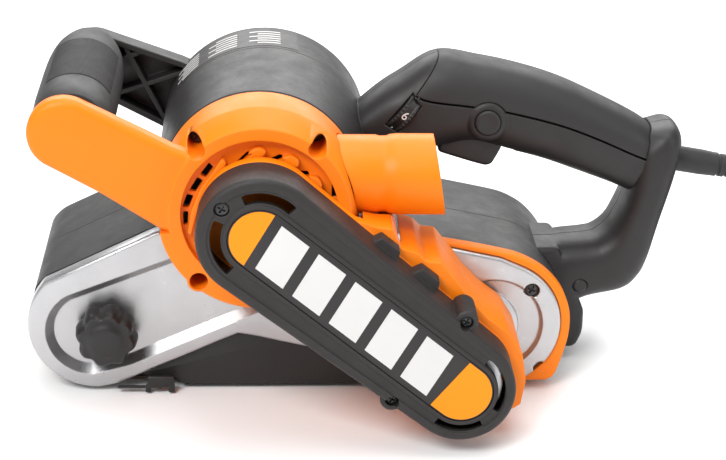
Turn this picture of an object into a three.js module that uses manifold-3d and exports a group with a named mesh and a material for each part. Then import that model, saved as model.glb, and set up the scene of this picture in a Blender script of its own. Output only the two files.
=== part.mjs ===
// A handheld belt sander with a 75 x 533 mm belt. Millimetres, +Z up, +X towards the cord.
// The drive side faces -Y. The origin is the centre of the belt's flat run, which lies on z = 0.
import * as THREE from "three";
import { mergeVertices } from "three/addons/utils/BufferGeometryUtils.js";
import Module from "manifold-3d";

const wasm = await Module();
wasm.setup();

// ---- driving dimensions ----
const GAP = 0.3; // clearance between neighbouring pieces
const FAR = 400; // longer than anything that is cut

// sanding belt and its two rollers
const BELT_LENGTH = 533;
const BELT_WIDTH = 75;
const BELT_THICKNESS = 1.2;
const ROLLER_RADIUS = 26.9;
const ROLLER_HALF = 36.5;
const BELT_INNER = ROLLER_RADIUS + GAP;
const BELT_OUTER = BELT_INNER + BELT_THICKNESS;
const BELT_MIDDLE = BELT_INNER + BELT_THICKNESS / 2;
const AXLE_X = (BELT_LENGTH / 2 - Math.PI * BELT_MIDDLE) / 2;
const AXLE_Z = BELT_OUTER;

// planes across the tool, from the drive side to the far side
const COVER_FACE = -113.8;
const COVER_RIM = -93;
const HOUSING_FACE = -86.5;
const HOUSING_BACK = -51;
const PLATE_FACE = -50.4;
const PLATE_BACK = -42;
const GUARD_FAR = 41;
const MOTOR_FAR = 39;
const HALF_SEAM = GAP / 2;

// motor and drive train
const MOTOR_ROOM_LOW = 60.8; // the motor's room is flat just above the belt
const MOTOR_X = -16;
const MOTOR_Z = 100.3;
const BARREL_NEAR = 43; // the motor's barrel widens from this radius at the fan housing
const BARREL_WIDE = 47.2;
const BARREL_WIDEST_Y = -2;
const BARREL_LEAN = [2, -0.8]; // how far the barrel's middle moves in X and Z as it widens
const BARREL_WALL = 2.4;
const FAN_HOUSING_RADIUS = 42.7;
const JACK_X = 68.9;
const JACK_Z = 31.1;
const PINION_TEETH = 9;
const GEAR_TEETH = 31;
const GEAR_CENTRES = Math.hypot(AXLE_X - JACK_X, AXLE_Z - JACK_Z);
const GEAR_MODULE = (2 * GEAR_CENTRES) / (PINION_TEETH + GEAR_TEETH);
const GEAR_NEAR = -47.1;
const GEAR_FAR = -42.5;
const MOTOR_PULLEY_RADIUS = 7;
const DRIVEN_PULLEY_RADIUS = 16;
const PULLEY_NEAR = -106.5;
const PULLEY_FAR = -93.5;

// side plate
const PLATE_END_X = 88.7;
const PLATE_END_Z = 32.6;
const PLATE_END_RADIUS = 30.6;

// front grip
const GRIP_X = -94.3;
const GRIP_Z = 135;
const ARM_BACK = -77;
const FAR_ARM_NEAR = 25;
const FAR_ARM_FAR = 40;

// dust outlet
const OUTLET_Y = -65;
const OUTLET_Z = 111;
const OUTLET_RADIUS = 16.8;

// handle fittings
const BUTTON_X = 85.7;
const BUTTON_Z = 118.3;
const DIAL_X = 48.4;
const DIAL_Y = -9.6;
const DIAL_Z = 121.4;
const DIAL_RADIUS = 11.5;
const DIAL_TILT = 0.88; // the dial's axle leans down towards the rear by this many radians

// tracking knob
const KNOB_X = -84;
const KNOB_Z = 30;

// cord
const CORD_RADIUS = 3.6;
const COIL_X = 282;
const COIL_Y = 76;
const COIL_RADIUS = 40;
const COIL_COLUMNS = 3;
const COIL_LAYERS = 4;
const COIL_HEIGHT = COIL_LAYERS * 2 * CORD_RADIUS;
const COIL_HALF = COIL_COLUMNS * CORD_RADIUS;

// ---- finishes ----
const LOOKS = {
  orange: { color: 0xf58220, roughness: 0.42, metalness: 0 },
  black: { color: 0x2e2b2c, roughness: 0.62, metalness: 0 },
  rubber: { color: 0x3b3a3b, roughness: 0.85, metalness: 0 },
  panel: { color: 0x211f20, roughness: 0.4, metalness: 0 },
  aluminium: { color: 0xcfcfd2, roughness: 0.35, metalness: 0.9 },
  steel: { color: 0x9b9da0, roughness: 0.3, metalness: 1 },
  darkSteel: { color: 0x37383b, roughness: 0.45, metalness: 0.8 },
  copper: { color: 0xb87333, roughness: 0.35, metalness: 1 },
  abrasive: { color: 0x6b4a35, roughness: 0.95, metalness: 0 },
  graphite: { color: 0x2a2a2c, roughness: 0.8, metalness: 0 },
};

// ---- helpers ----
const tool = new THREE.Group();

// A closed three.js geometry as a manifold solid.
function solid(geometry) {
  const plain = geometry.clone();
  plain.deleteAttribute("normal");
  plain.deleteAttribute("uv");
  const merged = mergeVertices(plain, 1e-4);
  return new wasm.Manifold(
    new wasm.Mesh({
      numProp: 3,
      vertProperties: merged.attributes.position.array,
      triVerts: new Uint32Array(merged.index.array),
    }),
  );
}

function join(...bodies) {
  return bodies.reduce((sum, body) => sum.add(body));
}

function cut(body, ...cutters) {
  return cutters.reduce((rest, cutter) => rest.subtract(cutter), body);
}

// The biggest piece of a solid, without the slivers that a cut can leave.
function largest(body) {
  return body.decompose().reduce((best, piece) => (piece.volume() > best.volume() ? piece : best));
}

// Adds a solid to the tool as a named mesh.
function add(name, body, look) {
  const mesh = body.getMesh();
  const positions = new Float32Array(mesh.numVert * 3);
  for (let i = 0; i < mesh.numVert; i++) {
    const start = i * mesh.numProp;
    positions.set(mesh.vertProperties.subarray(start, start + 3), i * 3);
  }
  const geometry = new THREE.BufferGeometry();
  geometry.setAttribute("position", new THREE.BufferAttribute(positions, 3));
  geometry.setIndex(new THREE.BufferAttribute(mesh.triVerts, 1));
  geometry.computeVertexNormals();
  const piece = new THREE.Mesh(geometry, new THREE.MeshStandardMaterial(LOOKS[look]));
  piece.name = name;
  tool.add(piece);
}

// An outline given as [x, z] points.
function outline(points) {
  return new THREE.Shape(points.map(([x, z]) => new THREE.Vector2(x, z)));
}

// An outline in the XZ plane pulled along Y. A bevel rounds both rims inside the outline.
function prism(shape, yFrom, yTo, bevel = 0, curveSegments = 10, bevelSegments = 2) {
  const geometry = new THREE.ExtrudeGeometry(shape, {
    depth: yTo - yFrom - 2 * bevel,
    curveSegments,
    bevelEnabled: bevel > 0,
    bevelSize: bevel,
    bevelThickness: bevel,
    bevelOffset: -bevel,
    bevelSegments,
  });
  geometry.rotateX(Math.PI / 2);
  geometry.translate(0, yTo - bevel, 0);
  return solid(geometry);
}

function box(xFrom, xTo, yFrom, yTo, zFrom, zTo) {
  const geometry = new THREE.BoxGeometry(xTo - xFrom, yTo - yFrom, zTo - zFrom);
  geometry.translate((xFrom + xTo) / 2, (yFrom + yTo) / 2, (zFrom + zTo) / 2);
  return solid(geometry);
}

// A round bar along Y.
function bar(x, z, radius, yFrom, yTo, sides = 20) {
  const geometry = new THREE.CylinderGeometry(radius, radius, yTo - yFrom, sides);
  geometry.translate(x, (yFrom + yTo) / 2, z);
  return solid(geometry);
}

// A profile of [radius, y] points turned about an axle along Y.
function turned(x, z, profile, sides = 24) {
  const points = profile.map(([radius, y]) => new THREE.Vector2(radius, y));
  const geometry = new THREE.LatheGeometry(points, sides);
  geometry.translate(x, 0, z);
  return solid(geometry);
}

function ring(x, z, outer, inner, yFrom, yTo, sides = 24) {
  const profile = [
    [inner, yFrom],
    [outer, yFrom],
    [outer, yTo],
    [inner, yTo],
    [inner, yFrom],
  ];
  return turned(x, z, profile, sides);
}

// The outline round two circles, with their two common tangents.
function capsule(x1, z1, r1, x2, z2, r2) {
  const along = Math.atan2(z2 - z1, x2 - x1);
  const spread = Math.acos((r1 - r2) / Math.hypot(x2 - x1, z2 - z1));
  const shape = new THREE.Shape();
  shape.absarc(x1, z1, r1, along + spread, along + 2 * Math.PI - spread, false);
  shape.absarc(x2, z2, r2, along - spread, along + spread, false);
  return shape;
}

// The capsule from the motor's axle to the jack shaft.
function driveCapsule(upper, lower) {
  return capsule(MOTOR_X, MOTOR_Z, upper, JACK_X, JACK_Z, lower);
}

function stadium(radius) {
  return capsule(-AXLE_X, AXLE_Z, radius, AXLE_X, AXLE_Z, radius);
}

// A sector of a flat ring, for arc-shaped vents.
function sector(x, z, inner, outer, fromAngle, toAngle) {
  const shape = new THREE.Shape();
  shape.absarc(x, z, outer, fromAngle, toAngle, false);
  shape.absarc(x, z, inner, toAngle, fromAngle, true);
  return shape;
}

// A bar whose section is a superellipse. Each station gives an outer and an inner point in the
// XZ plane and half the width along Y. A positive inset shrinks every section by that much.
function blendedBar(stations, inset = 0, sides = 16, fullness = 2.6) {
  const geometry = new THREE.CylinderGeometry(1, 1, 1, sides, stations.length - 1);
  const places = geometry.attributes.position;
  for (let i = 0; i < places.count; i++) {
    const index = Math.round((0.5 - places.getY(i)) * (stations.length - 1));
    const [outerX, outerZ, innerX, innerZ, halfWidth] = stations[index];
    const middleX = (outerX + innerX) / 2;
    const middleZ = (outerZ + innerZ) / 2;
    const halfHeight = Math.hypot(outerX - innerX, outerZ - innerZ) / 2;
    const shrink = (halfHeight - inset) / halfHeight;
    const across = places.getX(i);
    const sideways = places.getZ(i);
    const power = 2 / fullness;
    const up = Math.sign(across) * Math.abs(across) ** power * shrink;
    const out = Math.sign(sideways) * Math.abs(sideways) ** power * (halfWidth - inset);
    const x = middleX + ((outerX - innerX) / 2) * up;
    const z = middleZ + ((outerZ - innerZ) / 2) * up;
    places.setXYZ(i, x, -out, z);
  }
  return solid(geometry);
}

// A round bar along a curve through the points.
function cable(points, radius, steps, sides) {
  const curve = new THREE.CatmullRomCurve3(points.map((p) => new THREE.Vector3(...p)));
  const section = new THREE.Shape();
  section.absarc(0, 0, radius, 0, 2 * Math.PI, false);
  const geometry = new THREE.ExtrudeGeometry(section, {
    steps,
    curveSegments: sides / 2,
    bevelEnabled: false,
    extrudePath: curve,
  });
  return solid(geometry);
}

// ---- sanding belt, rollers and platen ----
function sandingBelt() {
  const outer = prism(stadium(BELT_OUTER), -BELT_WIDTH / 2, BELT_WIDTH / 2, 0, 12);
  const inner = prism(stadium(BELT_INNER), -FAR, FAR, 0, 12);
  return cut(outer, inner);
}

// A drum with a bore.
function roller(x, bore) {
  return ring(x, AXLE_Z, ROLLER_RADIUS, bore, -ROLLER_HALF, ROLLER_HALF, 24);
}

const BEARING_RADIUS = 11;
const BEARING_WIDTH = 8;
const IDLER_AXLE_RADIUS = 5;
const DRIVE_AXLE_RADIUS = 6;
const YOKE_LOW = 20;
const YOKE_HIGH = 37;
const ARM_OUT = 41.4; // outer face of the yoke's arms, on both sides

// A U-shaped yoke that holds the idler's axle and slides on a stem in the inner frame.
function tensionYoke() {
  const armIn = 37.9;
  const crossFront = -60;
  const crossBack = -50;
  const front = -AXLE_X - 8;
  const stemHalf = 8;
  const stemEnd = -27;
  const shape = [
    [front, -ARM_OUT],
    [crossBack, -ARM_OUT],
    [crossBack, -stemHalf],
    [stemEnd, -stemHalf],
    [stemEnd, stemHalf],
    [crossBack, stemHalf],
    [crossBack, ARM_OUT],
    [front, ARM_OUT],
    [front, armIn],
    [crossFront, armIn],
    [crossFront, -armIn],
    [front, -armIn],
  ];
  const plan = new THREE.Shape(shape.map(([x, y]) => new THREE.Vector2(x, y)));
  const geometry = new THREE.ExtrudeGeometry(plan, {
    depth: YOKE_HIGH - YOKE_LOW,
    bevelEnabled: false,
  });
  geometry.translate(0, 0, YOKE_LOW);
  const stemTrim = 4;
  return cut(
    solid(geometry),
    bar(-AXLE_X, AXLE_Z, IDLER_AXLE_RADIUS + GAP, -FAR, FAR, 16),
    box(crossBack, 0, -20, 20, YOKE_HIGH - stemTrim, FAR),
    box(crossBack, 0, -20, 20, -FAR, YOKE_LOW + stemTrim),
  );
}

const LEVER_X = -34;
const LEVER_Y = 39.5;
const LEVER_LOW = 18;
const LEVER_HIGH = 36;
const FRAME_FRONT = -42;
const FRAME_REAR = 58;
const FRAME_FAR = 34;
const FRAME_LOW = 5.2;
const FRAME_HIGH = 50;

// The casting inside the belt loop, with the rear axle's bearing seat and far support.
function innerFrame() {
  const wallFar = -38;
  const seat = 24;
  const wallFront = -41;
  const block = box(FRAME_FRONT, FRAME_REAR, PLATE_BACK + GAP, FRAME_FAR, FRAME_LOW, FRAME_HIGH);
  const wall = box(FRAME_REAR - 1, AXLE_X, PLATE_BACK + GAP, wallFar, 8, FRAME_HIGH);
  const seatDisc = bar(AXLE_X, AXLE_Z, seat, PLATE_BACK + GAP, wallFar, 28);
  const farArm = box(40, AXLE_X + 8, 37.9, ARM_OUT, YOKE_LOW, YOKE_HIGH);
  const armFoot = box(40, FRAME_REAR, FRAME_FAR - 1, ARM_OUT, YOKE_LOW, YOKE_HIGH);
  const lugFront = LEVER_X - 6;
  const lugRear = LEVER_X + 6;
  const lugFar = LEVER_Y + 4.5;
  const lowLug = box(lugFront, lugRear, FRAME_FAR - 1, lugFar, 13, LEVER_LOW - GAP);
  const highLug = box(lugFront, lugRear, FRAME_FAR - 1, lugFar, LEVER_HIGH + GAP, 41);
  const stemSlot = box(wallFront - FAR, 2, -8.6, 8.6, YOKE_LOW + 3.4, YOKE_HIGH - 3.4);
  const topPocket = box(-30, 50, -33, 26, 40, FAR);
  const lowPocket = box(8, 50, -33, 26, 10, 36);
  const pocketMouth = box(20, 40, -10, 10, 30, 42);
  return cut(
    join(block, wall, seatDisc, farArm, armFoot, lowLug, highLug, leverPin()),
    stemSlot,
    topPocket,
    lowPocket,
    pocketMouth,
    bar(AXLE_X, AXLE_Z, BEARING_RADIUS + GAP, -FAR, wallFar + 1, 24),
    bar(AXLE_X, AXLE_Z, DRIVE_AXLE_RADIUS + GAP, 30, FAR, 20),
    bar(KNOB_X, KNOB_Z, 4, -FAR, 0, 16),
  );
}

// A flat lever on the open side, along the frame when the belt is tight.
function releaseLever() {
  const tip = 14;
  const plan = new THREE.Shape();
  plan.absarc(LEVER_X, LEVER_Y, 4.6, Math.PI / 2, (3 * Math.PI) / 2 - 0.5, false);
  plan.lineTo(LEVER_X + 4, LEVER_Y - 2);
  plan.lineTo(tip, LEVER_Y - 2);
  plan.lineTo(tip + 3, LEVER_Y + 2.5);
  plan.lineTo(tip + 1, LEVER_Y + 4.6);
  plan.lineTo(tip - 9, LEVER_Y + 2);
  plan.lineTo(LEVER_X + 6, LEVER_Y + 2);
  const geometry = new THREE.ExtrudeGeometry(plan, {
    depth: LEVER_HIGH - LEVER_LOW,
    bevelEnabled: false,
    curveSegments: 10,
  });
  geometry.translate(0, 0, LEVER_LOW);
  const pinHole = solid(new THREE.CylinderGeometry(2.3, 2.3, 60, 12).rotateX(Math.PI / 2))
    .translate([LEVER_X, LEVER_Y, 27]);
  return cut(solid(geometry), pinHole);
}

// The pin that the lever turns on.
function leverPin() {
  const pin = new THREE.CylinderGeometry(2, 2, 27, 12).rotateX(Math.PI / 2);
  pin.translate(LEVER_X, LEVER_Y, 27);
  return solid(pin);
}

function tensionSpring() {
  const turns = 4;
  const from = -19;
  const to = -0.5;
  const points = [];
  for (let i = 0; i <= turns * 8; i++) {
    const angle = (i / 8) * 2 * Math.PI;
    const x = from + ((to - from) * i) / (turns * 8);
    points.push([x, 4 * Math.cos(angle), AXLE_Z + 0.1 + 3.4 * Math.sin(angle)]);
  }
  return cable(points, 0.7, turns * 8, 4);
}

function addBeltUnit() {
  add("sanding_belt", sandingBelt(), "abrasive");
  add("drive_roller", roller(AXLE_X, DRIVE_AXLE_RADIUS + GAP), "rubber");
  add("idler_roller", roller(-AXLE_X, BEARING_RADIUS + GAP), "aluminium");
  const axleEnd = ARM_OUT - 0.4;
  const idlerAxle = bar(-AXLE_X, AXLE_Z, IDLER_AXLE_RADIUS, -axleEnd, axleEnd, 16);
  add("idler_axle", idlerAxle, "steel");
  [-1, 1].forEach((side, index) => {
    const inside = side < 0 ? -ROLLER_HALF : ROLLER_HALF - BEARING_WIDTH;
    const race = ring(
      -AXLE_X, AXLE_Z, BEARING_RADIUS, IDLER_AXLE_RADIUS + GAP, inside, inside + BEARING_WIDTH, 20,
    );
    add("idler_bearing_" + (index + 1), race, "steel");
  });
  add("tension_yoke", tensionYoke(), "darkSteel");
  add("tension_spring", tensionSpring(), "steel");
  add("inner_frame", innerFrame(), "aluminium");
  add("release_lever", releaseLever(), "steel");
  add("platen_pad", box(-58, 58, -37, 36, BELT_THICKNESS + GAP, 3.4), "graphite");
  add("platen_plate", box(-60, 60, -37.2, 36.2, 3.7, 4.9), "steel");
}

// ---- side plate and what is fixed to it ----
// The plate's outline, grown outwards by the given amount.
function plateOutline(grow = 0) {
  const barrel = BARREL_NEAR + 1.6 - grow;
  const endRadius = PLATE_END_RADIUS + grow;
  const shape = new THREE.Shape();
  shape.absarc(-PLATE_END_X, PLATE_END_Z, endRadius, (3 * Math.PI) / 2, 2.4, true);
  shape.lineTo(-61.9 - grow / 2, 77.5 + grow);
  const angle = Math.asin((78.6 + grow - MOTOR_Z) / barrel);
  shape.absarc(MOTOR_X, MOTOR_Z, barrel, Math.PI - angle, 2 * Math.PI + angle, false);
  shape.lineTo(68.7, 69.8 + grow);
  shape.lineTo(91, 65 + grow);
  shape.absarc(PLATE_END_X, PLATE_END_Z, endRadius, 1.2, -Math.PI / 2, true);
  shape.lineTo(78, 3.6 - grow);
  shape.lineTo(17.7, 19 - grow);
  shape.lineTo(-7.1, 24.6 - grow);
  shape.quadraticCurveTo(-18, 27.5 - grow, -25.9, 28.6 - grow);
  shape.lineTo(-33.9, 25.1 - grow);
  shape.lineTo(-80, 3.7 - grow);
  return shape;
}

// The two shallow recesses that show on the plate's face.
function plateRecesses() {
  const depth = 1.2;
  const front = new THREE.Shape();
  front.absarc(-91, 29.5, 20.6, 2.12, 4.72, false);
  front.lineTo(-74.4, 13.3);
  front.lineTo(-28.5, 34);
  front.lineTo(-30, 48);
  front.lineTo(-60, 64.1);
  const rear = new THREE.Shape();
  rear.absarc(PLATE_END_X, PLATE_END_Z, 22.4, -1.1, 1.9, false);
  rear.lineTo(60, 56);
  rear.lineTo(60, 12);
  return [front, rear].map((shape) => prism(shape, -FAR, PLATE_FACE + depth, 0, 8));
}

function framePlate() {
  const body = prism(plateOutline(), PLATE_FACE, PLATE_BACK, 1.4, 8, 1);
  return cut(
    body,
    ...plateRecesses(),
    bar(AXLE_X, AXLE_Z, 18.8, -47.5, FAR, 22),
    bar(JACK_X, JACK_Z, 8, -47.5, FAR, 14),
    bar(JACK_X, JACK_Z, 6.2, -FAR, FAR, 14),
    bar(KNOB_X, KNOB_Z, 4, -FAR, FAR, 12),
    bar(105.3, 49.6, 3.6, -FAR, -46, 12),
    bar(111.4, 11, 3.6, -FAR, -46, 12),
  );
}

function sideTrim() {
  const shape = outline([
    [59, 73.4], [81.4, 69.4], [99.4, 65.3], [110.9, 58.9], [119.1, 50.1], [123.6, 39.3],
    [123.8, 27], [120.6, 14], [117.2, 4], [96, 4], [96, 20], [59, 60],
  ]);
  return cut(
    prism(shape, PLATE_FACE + 2, PLATE_BACK),
    prism(plateOutline(GAP), -FAR, FAR),
  );
}

function sideSkirt() {
  const shape = outline([
    [-70, 7.4], [-53, 5.5], [-52, 2.5], [84, 2.5], [84, 14], [10, 34], [-26, 40], [-40, 34],
  ]);
  return cut(
    prism(shape, PLATE_FACE + 2.4, PLATE_BACK),
    prism(plateOutline(GAP), -FAR, FAR),
  );
}

function platenClip() {
  const near = PLATE_FACE - 2.6;
  const far = PLATE_FACE - GAP;
  return join(
    box(-66.5, -54.6, near, far, 3, 8.4),
    box(-80, -60, near, far, 2.4, 3.4),
    box(-67.5, -65, near, far, 0.7, 4),
    box(-57.2, -54.4, near, far, 0.7, 4),
  );
}

// Eight-lobed knob on a short screw.
function trackingKnob() {
  const lobes = 8;
  const shape = new THREE.Shape();
  const steps = lobes * 5;
  for (let i = 0; i < steps; i++) {
    const angle = (i / steps) * 2 * Math.PI;
    const radius = 13 + 1.3 * Math.cos(lobes * angle);
    const x = KNOB_X + radius * Math.cos(angle);
    const z = KNOB_Z + radius * Math.sin(angle);
    if (i === 0) shape.moveTo(x, z);
    else shape.lineTo(x, z);
  }
  const front = PLATE_FACE - 11.6;
  return join(
    prism(shape, front, PLATE_FACE + 0.4, 1.5, 4, 1),
    bar(KNOB_X, KNOB_Z, 7.8, front - 1.6, front + 1, 20),
    bar(KNOB_X, KNOB_Z, 9, PLATE_FACE - 5, PLATE_FACE + 0.9, 20),
    bar(KNOB_X, KNOB_Z, 3.5, PLATE_FACE - 5, -ARM_OUT - GAP, 14),
  );
}

function addPlate() {
  add("frame_plate", framePlate(), "aluminium");
  add("side_trim", sideTrim(), "orange");
  add("side_skirt", sideSkirt(), "black");
  add("platen_clip", platenClip(), "black");
  add("tracking_knob", trackingKnob(), "black");
  add("plate_screw", bar(105.3, 49.6, 3.2, -49, -46.3, 12), "darkSteel");
}

// ---- drive train ----
// A spur gear outline with plain tapered teeth.
function gearOutline(x, z, teeth, turn) {
  const pitch = (GEAR_MODULE * teeth) / 2;
  const tip = pitch + 0.75 * GEAR_MODULE;
  const root = pitch - 1.05 * GEAR_MODULE;
  const corners = [
    [root, -0.31], [tip, -0.12], [tip, 0.12], [root, 0.31],
  ];
  const points = [];
  for (let i = 0; i < teeth; i++) {
    corners.forEach(([radius, part]) => {
      const angle = turn + ((i + part) * 2 * Math.PI) / teeth;
      points.push([x + radius * Math.cos(angle), z + radius * Math.sin(angle)]);
    });
  }
  return outline(points);
}

const MESH_ANGLE = Math.atan2(AXLE_Z - JACK_Z, AXLE_X - JACK_X);

function jackShaft() {
  const profile = [
    [0, PULLEY_NEAR + 1], [5.5, PULLEY_NEAR + 1], [5.5, -48.4], [3.2, -48.4], [3.2, GEAR_FAR],
    [0, GEAR_FAR],
  ];
  const halfTooth = Math.PI / PINION_TEETH;
  const pinion = gearOutline(JACK_X, JACK_Z, PINION_TEETH, MESH_ANGLE + halfTooth);
  return join(turned(JACK_X, JACK_Z, profile, 18), prism(pinion, GEAR_NEAR, GEAR_FAR));
}

function driveGear() {
  const wheel = gearOutline(AXLE_X, AXLE_Z, GEAR_TEETH, MESH_ANGLE + Math.PI);
  return cut(
    prism(wheel, GEAR_NEAR, GEAR_FAR),
    bar(AXLE_X, AXLE_Z, DRIVE_AXLE_RADIUS + GAP, -FAR, FAR, 20),
  );
}

function pulley(x, z, radius, bore) {
  const flange = radius + 1.8;
  const lip = 1.2;
  const profile = [
    [bore, PULLEY_NEAR], [flange, PULLEY_NEAR], [flange, PULLEY_NEAR + lip],
    [radius, PULLEY_NEAR + lip], [radius, PULLEY_FAR - lip], [flange, PULLEY_FAR - lip],
    [flange, PULLEY_FAR], [bore, PULLEY_FAR], [bore, PULLEY_NEAR],
  ];
  return turned(x, z, profile, 20);
}

function toothedBelt() {
  const near = PULLEY_NEAR + 1.5;
  const far = PULLEY_FAR - 1.5;
  const thickness = 1.5;
  const outer = driveCapsule(
    MOTOR_PULLEY_RADIUS + GAP + thickness, DRIVEN_PULLEY_RADIUS + GAP + thickness,
  );
  const inner = driveCapsule(MOTOR_PULLEY_RADIUS + GAP, DRIVEN_PULLEY_RADIUS + GAP);
  return cut(prism(outer, near, far, 0, 9), prism(inner, -FAR, FAR, 0, 9));
}

function addDriveTrain() {
  const driveAxle = bar(AXLE_X, AXLE_Z, DRIVE_AXLE_RADIUS, GEAR_NEAR, ARM_OUT - 0.4, 20);
  add("drive_axle", driveAxle, "steel");
  add("drive_gear", driveGear(), "steel");
  const seat = ring(
    AXLE_X, AXLE_Z, BEARING_RADIUS, DRIVE_AXLE_RADIUS + GAP, PLATE_BACK + 0.6, -38.4, 20,
  );
  add("drive_axle_bearing", seat, "steel");
  add("jack_shaft", jackShaft(), "steel");
  add("jack_bearing", ring(JACK_X, JACK_Z, BEARING_RADIUS, 5.8, -92.2, -85.4, 20), "steel");
  add("driven_pulley", pulley(JACK_X, JACK_Z, DRIVEN_PULLEY_RADIUS, 5.8), "aluminium");
  add("motor_pulley", pulley(MOTOR_X, MOTOR_Z, MOTOR_PULLEY_RADIUS, 4.3), "aluminium");
  add("toothed_belt", toothedBelt(), "rubber");
}

// ---- motor ----
const SHAFT_RADIUS = 4;

function armature() {
  const core = 20;
  const profile = [
    [0, PULLEY_NEAR + 0.5], [SHAFT_RADIUS, PULLEY_NEAR + 0.5], [SHAFT_RADIUS, -52], [core, -50],
    [core, -12], [12, -6], [SHAFT_RADIUS, -6], [SHAFT_RADIUS, 31], [0, 31],
  ];
  return turned(MOTOR_X, MOTOR_Z, profile, 20);
}

// A hub with a back disc and straight blades.
function coolingFan() {
  const near = -77;
  const far = -62;
  const blades = 8;
  const disc = ring(MOTOR_X, MOTOR_Z, 32, SHAFT_RADIUS + GAP, far - 2, far, 24);
  const hub = ring(MOTOR_X, MOTOR_Z, 9, SHAFT_RADIUS + GAP, near, far, 16);
  let fan = join(disc, hub);
  for (let i = 0; i < blades; i++) {
    const blade = box(8.5, 31.5, near + 2, far - 1, -0.9, 0.9);
    const turn = (i / blades) * 360;
    fan = fan.add(blade.rotate([0, turn, 0]).translate([MOTOR_X, 0, MOTOR_Z]));
  }
  return cut(fan, bar(MOTOR_X, MOTOR_Z, SHAFT_RADIUS + GAP, -FAR, FAR, 16));
}

function stator() {
  const ringBody = ring(MOTOR_X, MOTOR_Z, 36, 21.5, -46, -15, 28);
  const flats = [-1, 1].map((side) => {
    const x = MOTOR_X + side * 41;
    return box(x - 8, x + 8, -FAR, FAR, 0, FAR);
  });
  return cut(ringBody, ...flats);
}

const COMMUTATOR_RADIUS = 11;
const BRUSH_NEAR = 4;
const BRUSH_FAR = 12;

function brush(side) {
  const from = MOTOR_Z + side * (COMMUTATOR_RADIUS + GAP);
  const to = MOTOR_Z + side * 27;
  const [low, high] = [Math.min(from, to), Math.max(from, to)];
  return box(MOTOR_X - 3, MOTOR_X + 3, BRUSH_NEAR, BRUSH_FAR, low, high);
}

function brushHolder(side) {
  const from = MOTOR_Z + side * 14;
  const to = MOTOR_Z + side * 38.5;
  const [low, high] = [Math.min(from, to), Math.max(from, to)];
  const wall = 2;
  const outer = box(
    MOTOR_X - 3 - wall, MOTOR_X + 3 + wall, BRUSH_NEAR - wall, BRUSH_FAR + wall, low, high,
  );
  const bore = box(
    MOTOR_X - 3 - GAP, MOTOR_X + 3 + GAP, BRUSH_NEAR - GAP, BRUSH_FAR + GAP, low - 1, high + 1,
  );
  return cut(outer, bore);
}

function addMotor() {
  add("armature", armature(), "steel");
  add("commutator", ring(MOTOR_X, MOTOR_Z, COMMUTATOR_RADIUS, 4.3, 0, 16, 24), "copper");
  add("cooling_fan", coolingFan(), "black");
  add("stator", stator(), "darkSteel");
  const front = ring(MOTOR_X, MOTOR_Z, BEARING_RADIUS, SHAFT_RADIUS + GAP, -86.2, -79.2, 20);
  add("motor_bearing_front", front, "steel");
  const back = ring(MOTOR_X, MOTOR_Z, 9.5, SHAFT_RADIUS + GAP, 23, 30, 20);
  add("motor_bearing_rear", back, "steel");
  add("brush_upper", brush(1), "graphite");
  add("brush_lower", brush(-1), "graphite");
  add("brush_holder_upper", brushHolder(1), "copper");
  add("brush_holder_lower", brushHolder(-1), "copper");
}

// ---- orange housings and the drive cover ----
const HOUSING_BOSSES = [
  [-42.4, 128.7],
  [7.8, 129.3],
  [-41.8, 70.3],
];
const BOSS_RADIUS = 5.2;

// The near arm of the front grip, running from the grip's end into the round housing.
function nearArmShape(inset) {
  const shape = new THREE.Shape();
  shape.absarc(-96.4, 134.6, 15.6 - inset, 1.15, 4.1, false);
  shape.lineTo(-82.1, 108.8 + inset);
  shape.lineTo(-57.7, 92.9 + inset);
  shape.lineTo(-40, 84 + inset);
  shape.lineTo(-34, 122 - inset);
  shape.lineTo(-52.5, 129.6 - inset);
  shape.lineTo(-61.5, 134.4 - inset);
  return shape;
}

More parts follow.
